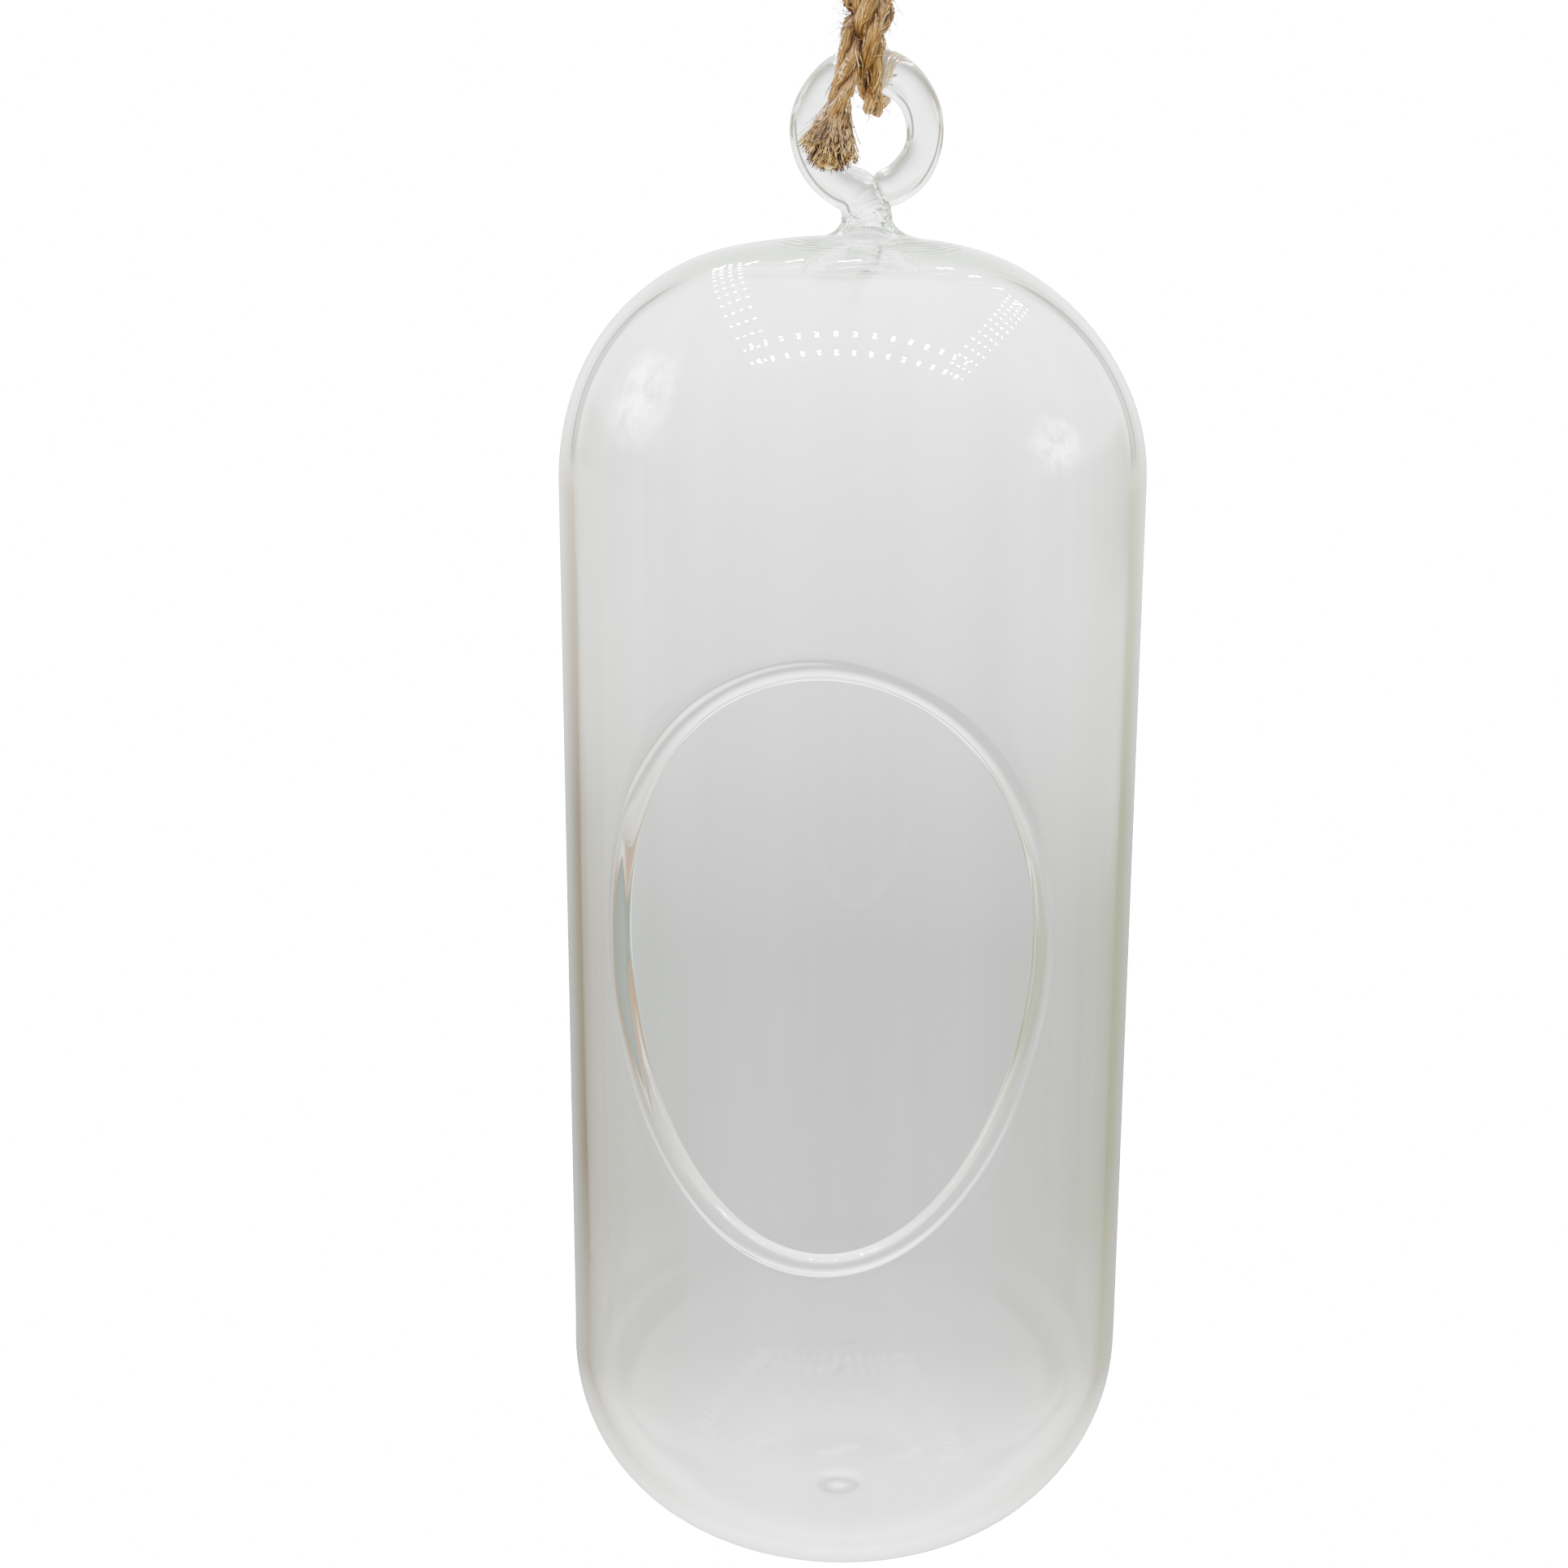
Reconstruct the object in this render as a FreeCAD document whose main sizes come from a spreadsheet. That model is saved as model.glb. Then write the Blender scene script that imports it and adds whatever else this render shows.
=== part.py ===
# Hanging propagation vase: a capsule of clear blown glass with a side window, hung by a glass ring on a rope.
# Millimetres, +Z up, the window faces -Y. The origin is where a hook bears on the inside of the hanging loop,
# and the rope hangs straight down from there along the Z axis.
import FreeCAD, Part
import math
import os

from Sketcher import Constraint

SIZES = {
    # blown capsule: a tube with a flattened dome at each end
    "vessel_radius": 40.0,
    "vessel_length": 189.6,
    "glass_wall": 2.0,
    "crown_radius": 61.5,
    "shoulder_radius": 32.0,
    "base_radius": 104.0,
    "base_corner_radius": 28.0,
    # mark inside the base where the glass was sealed
    "seal_radius": 3.7,
    "seal_rise": 0.8,
    # side window: an egg on end, a little longer below its widest level, with a fire-polished lip
    "window_half_width": 27.1,
    "window_rise": 36.8,
    "window_drop": 41.7,
    "window_below_crown": 89.1,
    "window_turn": 6.5,
    "lip_width": 2.4,
    "lip_proud": 0.4,
    "lip_round": 1.1,
    # neck drawn up from the crown
    "neck_radius": 3.4,
    "neck_rise": 1.55,
    "neck_flare": 3.0,
    # the ring stands over the glass's centre of weight, so that the vase hangs plumb
    "ring_from_axis": 1.75,
    "ring_behind_axis": 2.8,
    # ring curled from a solid glass rod, its end lapped back onto the stem
    "rod_diameter": 5.2,
    "ring_radius": 7.7,
    "stem_bend": 4.0,
    "stem_taper": 2.2,
    "lap_angle": 64.0,
    # jute rope, its hanging loop and its knots
    "rope_diameter": 3.5,
    "strand_gap": 0.4,
    "running_gap": 0.3,
    "eye_radius": 6.5,
    "eye_length": 26.0,
    "knot_height": 10.0,
    "knot_wrap_radius": 3.1,
    "knot_tilt": 24.0,
    "knot_sink": 1.0,
    "standing_length": 38.0,
    "knot_to_rod": 5.3,
    # frayed end of the tail
    "fray_radius": 2.6,
    "fray_length": 5.0,
    "fray_round": 0.9,
    # how far a cutting tool runs past what it cuts
    "overrun": 2.0,
}

# levels down from the origin, as expressions in the sizes
LOOP_KNOT_TOP = "-sizes.eye_length"
LOOP_KNOT_BOTTOM = "-(sizes.eye_length + sizes.knot_height)"
RING_KNOT_TOP = "-(sizes.eye_length + sizes.knot_height + sizes.standing_length)"
RING_KNOT_BOTTOM = "-(sizes.eye_length + 2 * sizes.knot_height + sizes.standing_length)"
ROD_LEVEL = "-(sizes.eye_length + 2 * sizes.knot_height + sizes.standing_length + sizes.knot_to_rod)"
RING_LEVEL = f"{ROD_LEVEL} - sizes.ring_radius"
RING_TO_NECK = "sqrt((sizes.ring_radius + sizes.stem_bend) ^ 2 - sizes.stem_bend ^ 2)"
NECK_LEVEL = f"{RING_LEVEL} - {RING_TO_NECK}"
BASE_LEVEL = f"{NECK_LEVEL} - sizes.neck_rise - sizes.vessel_length"
VESSEL_X = "-sizes.ring_from_axis"
VESSEL_Y = "-sizes.ring_behind_axis"
WINDOW_LEVEL = "sizes.vessel_length - sizes.window_below_crown"

# the tail's route from the middle of the ring knot's underside: out of the knot, down in front of the ring
TAIL_ROUTE = [
    (-1.4, -2.3, 4.6),
    (-2.3, -5.5, 1.6),
    (-2.8, -7.4, -3.4),
    (-3.9, -9.6, -7.8),
    (-4.6, -11.2, -12.2),
]

# an arc at a corner of a free route takes this share of its shorter run
RUN_SHARE = 0.45

# points nearer than this are taken as the same
CLOSE = 1e-4

doc = FreeCAD.newDocument("propagation_vase")


def make_sheet():
    sheet = doc.addObject("Spreadsheet::Sheet", "sizes")
    for row, (alias, value) in enumerate(SIZES.items(), start=1):
        sheet.set(f"A{row}", alias)
        sheet.set(f"B{row}", str(value))
        sheet.setAlias(f"B{row}", alias)
    doc.recompute()
    return sheet


sheet = make_sheet()


def size(alias):
    return float(sheet.get(alias))


def level(words):
    """The value of one of the level expressions above."""
    return float(sheet.evalExpression(words))


def bind(item, expressions):
    for name, expression in expressions.items():
        item.setExpression(name, str(expression))


def place(item, at=("0", "0", "0"), axis="0; 0; 1", angle="0"):
    x, y, z = at
    item.setExpression("Placement", f"placement(vector({x}; {y}; {z}); rotation(vector({axis}); {angle}))")


def primitive(kind, name, expressions, at=("0", "0", "0"), axis="0; 0; 1", angle="0"):
    item = doc.addObject(f"Part::{kind}", name)
    bind(item, expressions)
    place(item, at, axis, angle)
    return item


def fuse(name, items):
    joined = doc.addObject("Part::MultiFuse", name)
    joined.Shapes = items
    return joined


def common(name, items):
    shared = doc.addObject("Part::MultiCommon", name)
    shared.Shapes = items
    return shared


def cut(name, base, tool):
    left = doc.addObject("Part::Cut", name)
    left.Base = base
    left.Tool = tool
    return left


def origin_plane(body, role):
    return next(item for item in body.Origin.OriginFeatures if item.Role == role)


def new_sketch(body, name):
    sketch = body.newObject("Sketcher::SketchObject", name)
    sketch.AttachmentSupport = [(origin_plane(body, "XZ_Plane"), "")]
    sketch.MapMode = "FlatFace"
    return sketch


def add_line(sketch, start, end):
    line = Part.LineSegment(FreeCAD.Vector(*start, 0), FreeCAD.Vector(*end, 0))
    return sketch.addGeometry(line, False)


def add_arc(sketch, centre, radius, start, end):
    circle = Part.Circle(FreeCAD.Vector(*centre, 0), FreeCAD.Vector(0, 0, 1), radius)
    return sketch.addGeometry(Part.ArcOfCircle(circle, start, end), False)


def drive(sketch, name, constraint, expression):
    index = sketch.addConstraint(constraint)
    sketch.renameConstraint(index, name)
    sketch.setExpression(f"Constraints.{name}", expression)


def capsule_sketch(body, name, inset, inset_words):
    """Half of the capsule's section with every surface set in by inset. The base's pole is at the origin."""
    radius = size("vessel_radius") - inset
    top = size("vessel_length") - inset
    base = size("base_radius") - inset
    corner = size("base_corner_radius") - inset
    shoulder = size("shoulder_radius") - inset
    crown = size("crown_radius") - inset
    low = math.asin((radius - corner) / (base - corner))
    high = math.asin((radius - shoulder) / (crown - shoulder))
    corner_level = inset + base - (base - corner) * math.cos(low)
    shoulder_level = top - crown + (crown - shoulder) * math.cos(high)
    quarter = math.pi / 2
    sketch = new_sketch(body, name)
    floor = add_arc(sketch, (0, base + inset), base, -quarter, low - quarter)
    bend = add_arc(sketch, (radius - corner, corner_level), corner, low - quarter, 0)
    side = add_line(sketch, (radius, corner_level), (radius, shoulder_level))
    turn = add_arc(sketch, (radius - shoulder, shoulder_level), shoulder, 0, quarter - high)
    roof = add_arc(sketch, (0, top - crown), crown, quarter - high, quarter)
    axis = add_line(sketch, (0, top), (0, inset))
    start, end, centre, origin, vertical = 1, 2, 3, -1, -2
    sketch.addConstraint(
        [
            Constraint("Tangent", floor, end, bend, start),
            Constraint("Tangent", bend, end, side, start),
            Constraint("Tangent", side, end, turn, start),
            Constraint("Tangent", turn, end, roof, start),
            Constraint("Coincident", roof, end, axis, start),
            Constraint("Coincident", axis, end, floor, start),
            Constraint("PointOnObject", axis, start, vertical),
            Constraint("PointOnObject", floor, centre, vertical),
            Constraint("PointOnObject", roof, centre, vertical),
            Constraint("Vertical", axis),
            Constraint("Vertical", side),
        ]
    )
    driven = {
        "half_width": (Constraint("DistanceX", origin, start, side, start, radius), "sizes.vessel_radius"),
        "top": (Constraint("DistanceY", origin, start, axis, start, top), "sizes.vessel_length"),
        "base": (Constraint("Radius", floor, base), "sizes.base_radius"),
        "corner": (Constraint("Radius", bend, corner), "sizes.base_corner_radius"),
        "shoulder": (Constraint("Radius", turn, shoulder), "sizes.shoulder_radius"),
        "crown": (Constraint("Radius", roof, crown), "sizes.crown_radius"),
    }
    for name, (constraint, outside) in driven.items():
        drive(sketch, name, constraint, f"{outside} - {inset_words}")
    drive(sketch, "bottom", Constraint("DistanceY", origin, start, axis, end, inset), inset_words)
    return sketch


def neck_sketch(body):
    """Half of the neck's section about the ring's own axis, flaring down into the crown."""
    radius = size("neck_radius")
    flare = size("neck_flare")
    top = size("vessel_length") + size("neck_rise")
    sketch = new_sketch(body, "neck_section")
    sketch.setExpression(
        "AttachmentOffset",
        "placement(vector(sizes.ring_from_axis; 0; -sizes.ring_behind_axis); rotation(0; 0; 0))",
    )
    floor = add_line(sketch, (0, top - flare), (radius + flare, top - flare))
    arc = add_arc(sketch, (radius + flare, top), flare, math.pi, 1.5 * math.pi)
    lid = add_line(sketch, (radius, top), (0, top))
    axis = add_line(sketch, (0, top), (0, top - flare))
    start, end, centre, origin, vertical = 1, 2, 3, -1, -2
    sketch.addConstraint(
        [
            Constraint("Tangent", floor, end, arc, end),
            Constraint("Coincident", arc, start, lid, start),
            Constraint("Coincident", lid, end, axis, start),
            Constraint("Coincident", axis, end, floor, start),
            Constraint("PointOnObject", axis, start, vertical),
            Constraint("Vertical", axis),
            Constraint("Horizontal", floor),
            Constraint("Horizontal", lid),
            Constraint("Horizontal", arc, centre, arc, start),
        ]
    )
    drive(sketch, "radius", Constraint("DistanceX", lid, end, lid, start, radius), "sizes.neck_radius")
    drive(sketch, "flare", Constraint("Radius", arc, flare), "sizes.neck_flare")
    drive(
        sketch,
        "top",
        Constraint("DistanceY", origin, start, axis, start, top),
        "sizes.vessel_length + sizes.neck_rise",
    )
    return sketch


def revolve(body, kind, name, sketch):
    feature = body.newObject(f"PartDesign::{kind}", name)
    feature.Profile = sketch
    feature.ReferenceAxis = (sketch, ["V_Axis"])
    feature.Angle = 360
    sketch.Visibility = False
    doc.recompute()
    return feature


def blown_blank():
    """The closed capsule with its neck, before the window is opened."""
    body = doc.addObject("PartDesign::Body", "blown_blank")
    revolve(body, "Revolution", "outside", capsule_sketch(body, "outside_section", 0.0, "0"))
    revolve(body, "Revolution", "neck", neck_sketch(body))
    solid = body.Shape.Volume
    hollow = capsule_sketch(body, "hollow_section", size("glass_wall"), "sizes.glass_wall")
    revolve(body, "Groove", "hollow", hollow)
    assert body.Shape.Volume < solid, "the hollow cut nothing"
    return body


def half_egg(name, half_width, height, low):
    """Half of an elliptical prism that runs from the vessel's axis out past its front wall."""
    reach = "sizes.vessel_radius + sizes.overrun"
    outline = primitive(
        "Ellipse",
        f"{name}_outline",
        {"MajorRadius": height, "MinorRadius": half_width},
        axis="1; 1; 1",
        angle="-120",
    )
    prism = doc.addObject("Part::Extrusion", f"{name}_prism")
    prism.Base = outline
    prism.DirMode = "Custom"
    prism.Dir = FreeCAD.Vector(0, -1, 0)
    prism.Solid = True
    prism.setExpression("LengthFwd", reach)
    half = primitive(
        "Box",
        f"{name}_half",
        {"Length": f"2 * ({half_width})", "Width": reach, "Height": height},
        at=(f"-({half_width})", f"-({reach})", low),
    )
    return common(name, [prism, half])


def egg_prism(name, grow):
    """A prism of the window's outline, grown all round by grow."""
    half_width = f"sizes.window_half_width + {grow}"
    rise = f"sizes.window_rise + {grow}"
    drop = f"sizes.window_drop + {grow}"
    upper = half_egg(f"{name}_upper", half_width, rise, "0")
    lower = half_egg(f"{name}_lower", half_width, drop, f"-({drop})")
    egg = fuse(name, [upper, lower])
    place(egg, at=("0", "0", WINDOW_LEVEL), angle="-sizes.window_turn")
    return egg


def lip_band():
    """A slightly thicker band of wall round the window, which the fire-polished lip is made from."""
    outer = primitive(
        "Cylinder",
        "lip_outside",
        {"Radius": "sizes.vessel_radius + sizes.lip_proud", "Height": "sizes.vessel_length"},
    )
    inner = primitive(
        "Cylinder",
        "lip_inside",
        {
            "Radius": "sizes.vessel_radius - sizes.glass_wall - sizes.lip_proud",
            "Height": "sizes.vessel_length",
        },
    )
    return common("lip_band", [cut("lip_tube", outer, inner), egg_prism("lip_egg", "sizes.lip_width")])


def window_edges(shape):
    """The numbers of the edges where the window meets the inside and the outside of the lip."""
    turn = FreeCAD.Rotation(FreeCAD.Vector(0, 0, 1), size("window_turn"))
    radii = (
        size("vessel_radius") + size("lip_proud"),
        size("vessel_radius") - size("glass_wall") - size("lip_proud"),
    )
    middle = size("vessel_length") - size("window_below_crown")
    found = []
    for index, edge in enumerate(shape.Edges, start=1):
        point = turn.multVec(edge.valueAt((edge.FirstParameter + edge.LastParameter) / 2))
        height = size("window_rise") if point.z > middle else size("window_drop")
        outline = math.hypot(point.x / size("window_half_width"), (point.z - middle) / height)
        radius = math.hypot(point.x, point.y)
        on_lip = min(abs(radius - known) for known in radii) < CLOSE
        if point.y < 0 and on_lip and abs(outline - 1) < CLOSE:
            found.append(index)
    return found


def glass_vessel():
    seal = primitive(
        "Ellipsoid",
        "base_seal",
        {"Radius1": "sizes.seal_rise", "Radius2": "sizes.seal_radius", "Radius3": "sizes.seal_radius"},
        at=("0", "0", "sizes.glass_wall"),
    )
    whole = fuse("whole_vessel", [blown_blank(), lip_band(), seal])
    opened = cut("opened_vessel", whole, egg_prism("window_egg", "0"))
    doc.recompute()
    polished = doc.addObject("Part::Fillet", "polished_vessel")
    polished.Base = opened
    polished.Edges = [(index, size("lip_round"), size("lip_round")) for index in window_edges(opened.Shape)]
    hung = doc.addObject("Part::Compound", "glass_vessel")
    hung.Links = [polished]
    place(hung, at=(VESSEL_X, VESSEL_Y, BASE_LEVEL))
    return hung


def hanging_ring():
    upright = {"axis": "1; 0; 0", "angle": "90"}
    half_rod = "sizes.rod_diameter / 2"
    bend_angle = "acos(sizes.stem_bend / (sizes.ring_radius + sizes.stem_bend))"
    curl = primitive(
        "Torus",
        "ring_curl",
        {
            "Radius1": "sizes.ring_radius",
            "Radius2": half_rod,
            "Angle3": f"180 deg + {bend_angle} + sizes.lap_angle * 1 deg",
        },
    )
    curl.setExpression(
        "Placement",
        f"placement(vector(0; 0; {RING_LEVEL}); rotation(vector(1; 0; 0); 90))"
        " * placement(vector(0; 0; 0); rotation(vector(0; 0; 1); -sizes.lap_angle))",
    )
    bend = primitive(
        "Torus",
        "ring_stem",
        {"Radius1": "sizes.stem_bend", "Radius2": half_rod, "Angle3": bend_angle},
        at=("-sizes.stem_bend", "0", NECK_LEVEL),
        **upright,
    )
    taper = primitive(
        "Cone",
        "stem_taper_cone",
        {
            "Radius1": "sizes.neck_radius",
            "Radius2": f"sqrt((sizes.stem_bend + {half_rod}) ^ 2 - sizes.stem_taper ^ 2) - sizes.stem_bend",
            "Height": "sizes.stem_taper",
        },
        at=("0", "0", NECK_LEVEL),
    )
    end = primitive(
        "Sphere",
        "rod_end",
        {"Radius": half_rod},
        at=(
            "sizes.ring_radius * cos(sizes.lap_angle * 1 deg)",
            "0",
            f"{RING_LEVEL} - sizes.ring_radius * sin(sizes.lap_angle * 1 deg)",
        ),
    )
    return fuse("hanging_ring", [curl, bend, taper, end])


def knot(name, top, bottom):
    """A knot's outer shape: two crossed turns round a core, cut flat where the rope goes in and out."""
    middle = ("0", "0", f"({top} + {bottom}) / 2")
    turns = [
        primitive(
            "Torus",
            f"{name}_turn_{side}",
            {"Radius1": "sizes.knot_wrap_radius", "Radius2": "sizes.rope_diameter / 2"},
            at=middle,
            axis="0; 1; 0",
            angle=f"{sign}sizes.knot_tilt",
        )
        for side, sign in (("left", ""), ("right", "-"))
    ]
    core = primitive(
        "Ellipsoid",
        f"{name}_core",
        {
            "Radius1": "sizes.knot_height / 2 + sizes.rope_diameter / 4",
            "Radius2": "sizes.knot_wrap_radius + sizes.rope_diameter / 4",
            "Radius3": "sizes.knot_wrap_radius + sizes.rope_diameter / 4",
        },
        at=middle,
    )
    limits = primitive(
        "Cylinder",
        f"{name}_limits",
        {"Radius": "sizes.knot_wrap_radius + sizes.rope_diameter", "Height": "sizes.knot_height"},
        at=("0", "0", bottom),
    )
    return common(name, [fuse(f"{name}_form", [*turns, core]), limits])


def rope_tube(name, wire, bends, at_level="0"):
    """A plain tube of the rope's section along a wire of straight runs and tangent arcs."""
    radius = size("rope_diameter") / 2
    start = wire.Edges[0].valueAt(wire.Edges[0].FirstParameter)
    heading = wire.Edges[0].tangentAt(wire.Edges[0].FirstParameter)
    circle = Part.Wire([Part.makeCircle(radius, start, heading)])
    tube = doc.addObject("Part::Feature", name)
    tube.Shape = wire.makePipeShell([circle], True, False)
    place(tube, at=("0", "0", at_level))
    ratio = tube.Shape.Volume / (math.pi * radius**2 * wire.Length)
    print(name, "length", round(wire.Length, 2), "volume over section by length", round(ratio, 4))
    print(name, "bend radii", [round(bend, 1) for bend in bends])
    return tube


def bight_wire(centre, bend, spread, end_level, across):
    """A loop of rope round a rod: an arc about the level centre, then two straight legs to end_level, where
    they are spread to either side of Z. The unit vector across points from one leg to the other."""
    reach = end_level - centre
    span = math.hypot(reach, spread)
    lean = math.atan2(abs(reach), spread) - math.acos(bend / span)
    up = math.copysign(1, reach)

    def point(along, level):
        return across * along + FreeCAD.Vector(0, 0, level)

    touch = bend * math.cos(lean)
    touch_level = centre + up * bend * math.sin(lean)
    arc = Part.Arc(point(touch, touch_level), point(0, centre - up * bend), point(-touch, touch_level))
    first = Part.LineSegment(point(spread, end_level), point(touch, touch_level))
    last = Part.LineSegment(point(-touch, touch_level), point(-spread, end_level))
    return Part.Wire([first.toShape(), arc.toShape(), last.toShape()])


def strand_spread():
    return (size("rope_diameter") + size("strand_gap")) / 2


def hanging_loop():
    bend = size("eye_radius")
    centre = size("rope_diameter") / 2 - bend
    end_level = level(LOOP_KNOT_TOP) - size("knot_sink")
    wire = bight_wire(centre, bend, strand_spread(), end_level, FreeCAD.Vector(1, 0, 0))
    return rope_tube("hanging_loop", wire, [bend])


def ring_bight():
    bend = size("rod_diameter") / 2 + size("running_gap") + size("rope_diameter") / 2
    end_level = level(RING_KNOT_BOTTOM) + size("knot_sink")
    wire = bight_wire(level(ROD_LEVEL), bend, strand_spread(), end_level, FreeCAD.Vector(0, 1, 0))
    return rope_tube("ring_bight", wire, [bend])


def standing_rope():
    """The taut rope between the knots. Its rounded top is the swing's pivot, clear below the loop knot."""
    radius = "sizes.rope_diameter / 2"
    top = f"{LOOP_KNOT_BOTTOM} - sizes.running_gap - {radius}"
    rope = primitive(
        "Cylinder",
        "standing_run",
        {"Radius": radius, "Height": f"{top} - ({RING_KNOT_TOP})"},
        at=("0", "0", RING_KNOT_TOP),
    )
    round_top = primitive("Sphere", "standing_top", {"Radius": radius}, at=("0", "0", top))
    return fuse("standing_rope", [rope, round_top])


def route_wire(points):
    """Straight runs between points, joined at each corner by an arc as large as the two runs allow."""
    points = [FreeCAD.Vector(*point) for point in points]
    edges = []
    bends = []
    leave = points[0]
    for before, corner, after in zip(points, points[1:], points[2:]):
        back = (before - corner).normalize()
        ahead = (after - corner).normalize()
        half_turn = (math.pi - back.getAngle(ahead)) / 2
        share = RUN_SHARE * min(before.distanceToPoint(corner), corner.distanceToPoint(after))
        bend = share / math.tan(half_turn)
        arrive = corner + back * share
        next_leave = corner + ahead * share
        inward = (back + ahead).normalize()
        middle = corner + inward * (bend / math.cos(half_turn) - bend)
        edges.append(Part.LineSegment(leave, arrive).toShape())
        edges.append(Part.Arc(arrive, middle, next_leave).toShape())
        bends.append(bend)
        leave = next_leave
    edges.append(Part.LineSegment(leave, points[-1]).toShape())
    return Part.Wire(edges), bends


def rope_tail():
    wire, bends = route_wire(TAIL_ROUTE)
    return rope_tube("rope_tail", wire, bends, RING_KNOT_BOTTOM)


def frayed_end():
    """The tail's last stretch, straight on from its route, opened out where its yarns have come loose."""
    start = FreeCAD.Vector(*TAIL_ROUTE[-1])
    turn = FreeCAD.Rotation(FreeCAD.Vector(0, 0, 1), start - FreeCAD.Vector(*TAIL_ROUTE[-2]))
    fray = primitive(
        "Cone",
        "fray_cone",
        {"Radius1": "sizes.rope_diameter / 2", "Radius2": "sizes.fray_radius", "Height": "sizes.fray_length"},
        at=(start.x, start.y, f"{RING_KNOT_BOTTOM} + {start.z}"),
        axis=f"{turn.Axis.x}; {turn.Axis.y}; {turn.Axis.z}",
        angle=math.degrees(turn.Angle),
    )
    doc.recompute()
    rim = max(
        (index for index, edge in enumerate(fray.Shape.Edges, start=1) if edge.Closed),
        key=lambda index: fray.Shape.Edges[index - 1].Length,
    )
    rounded = doc.addObject("Part::Fillet", "frayed_end")
    rounded.Base = fray
    rounded.Edges = [(rim, size("fray_round"), size("fray_round"))]
    return rounded


def check(parts):
    for item in doc.Objects:
        assert not {"Invalid", "Error"} & set(item.State), f"{item.Name} failed: {item.State}"
    for name, item in parts.items():
        assert not item.Shape.isNull(), f"{name} is empty"
        assert item.Shape.isValid(), f"{name} isn't valid"


def main():
    pieces = {
        "glass_vessel": glass_vessel,
        "hanging_ring": hanging_ring,
        "hanging_loop": hanging_loop,
        "loop_knot": lambda: knot("loop_knot", LOOP_KNOT_TOP, LOOP_KNOT_BOTTOM),
        "standing_rope": standing_rope,
        "ring_knot": lambda: knot("ring_knot", RING_KNOT_TOP, RING_KNOT_BOTTOM),
        "ring_bight": ring_bight,
        "rope_tail": rope_tail,
        "frayed_end": frayed_end,
    }
    parts = {}
    for name, make in pieces.items():
        parts[name] = make()
        parts[name].Label = name
    doc.recompute()
    check(parts)
    os.makedirs("parts", exist_ok=True)
    for name, item in parts.items():
        item.Shape.exportStep(f"parts/{name}.step")
        box = item.Shape.BoundBox
        low = [round(value, 2) for value in (box.XMin, box.YMin, box.ZMin)]
        high = [round(value, 2) for value in (box.XMax, box.YMax, box.ZMax)]
        print(name, "solids", len(item.Shape.Solids), "from", low, "to", high)
    glass = [*parts["glass_vessel"].Shape.Solids, *parts["hanging_ring"].Shape.Solids]
    volume = sum(solid.Volume for solid in glass)
    centre = FreeCAD.Vector()
    for solid in glass:
        centre += solid.CenterOfMass * (solid.Volume / volume)
    print("glass volume", round(volume), "centre", [round(value, 2) for value in centre])


main()
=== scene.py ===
# %% [markdown]
# # A hanging propagation vase
# A clear glass capsule with an egg-shaped side window hangs by a curled glass ring on a knotted jute rope. This
# lesson loads the CAD model as a fixed frame and dresses it: first the camera and the rope, then the glass, then
# the finishes, the loose fibres and the studio. Sizes are typed in millimetres, as a maker would say them, and
# turned to metres where a mesh is made.

import math

import bmesh
import bpy
import numpy as np
from mathutils import Matrix, Vector


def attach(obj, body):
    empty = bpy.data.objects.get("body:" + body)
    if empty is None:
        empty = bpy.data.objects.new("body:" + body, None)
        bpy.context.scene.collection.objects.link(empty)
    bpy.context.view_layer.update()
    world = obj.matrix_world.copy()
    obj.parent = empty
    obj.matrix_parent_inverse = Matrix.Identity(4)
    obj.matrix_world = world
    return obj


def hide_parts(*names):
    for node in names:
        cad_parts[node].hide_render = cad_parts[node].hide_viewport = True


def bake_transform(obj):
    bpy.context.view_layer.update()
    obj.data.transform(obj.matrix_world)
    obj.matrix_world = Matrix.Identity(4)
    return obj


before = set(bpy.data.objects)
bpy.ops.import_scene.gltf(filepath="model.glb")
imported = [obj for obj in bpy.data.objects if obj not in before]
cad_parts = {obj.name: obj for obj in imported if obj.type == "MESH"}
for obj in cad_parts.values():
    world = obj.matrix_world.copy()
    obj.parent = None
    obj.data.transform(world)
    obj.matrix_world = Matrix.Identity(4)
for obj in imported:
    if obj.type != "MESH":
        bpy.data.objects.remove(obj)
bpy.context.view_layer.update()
MM = 0.001
print("nodes:", ", ".join(sorted(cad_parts)))

# %% [markdown]
# ## Small helpers
# A mesh in Blender is a list of points and a list of faces. One helper turns both into an object at the origin,
# with its place in its points, so that a pattern in Object coordinates lies still. Colours are written as the hex
# values that a paint chart shows, in sRGB, and Blender's nodes want linear values, so one function converts them.


# %% Object and mesh helpers
def placed(name, data):
    """An object of the scene that holds the data."""
    made = bpy.data.objects.new(name, data)
    bpy.context.scene.collection.objects.link(made)
    return made


def piece(name, points_mm, faces, smooth=True):
    """A mesh object, from points in millimetres."""
    mesh = bpy.data.meshes.new(name)
    mesh.from_pydata([tuple(p) for p in np.asarray(points_mm) * MM], [], [tuple(f) for f in faces])
    mesh.validate()
    mesh.polygons.foreach_set("use_smooth", [smooth] * len(mesh.polygons))
    mesh.update()
    return placed(name, mesh)


def mark_points(on, **values):
    """Gives every point of a piece a number, or a direction, under each of the names."""
    for name, numbers in values.items():
        numbers = np.asarray(numbers, dtype=float)
        kind, field = ("FLOAT", "value") if numbers.ndim == 1 else ("FLOAT_VECTOR", "vector")
        on.data.attributes.new(name, kind, "POINT").data.foreach_set(field, numbers.ravel())


def share_of(value, low, high):
    """0 below the low end, 1 above the high end, and a straight rise between them."""
    return np.clip((value - low) / (high - low), 0, 1)


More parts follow.
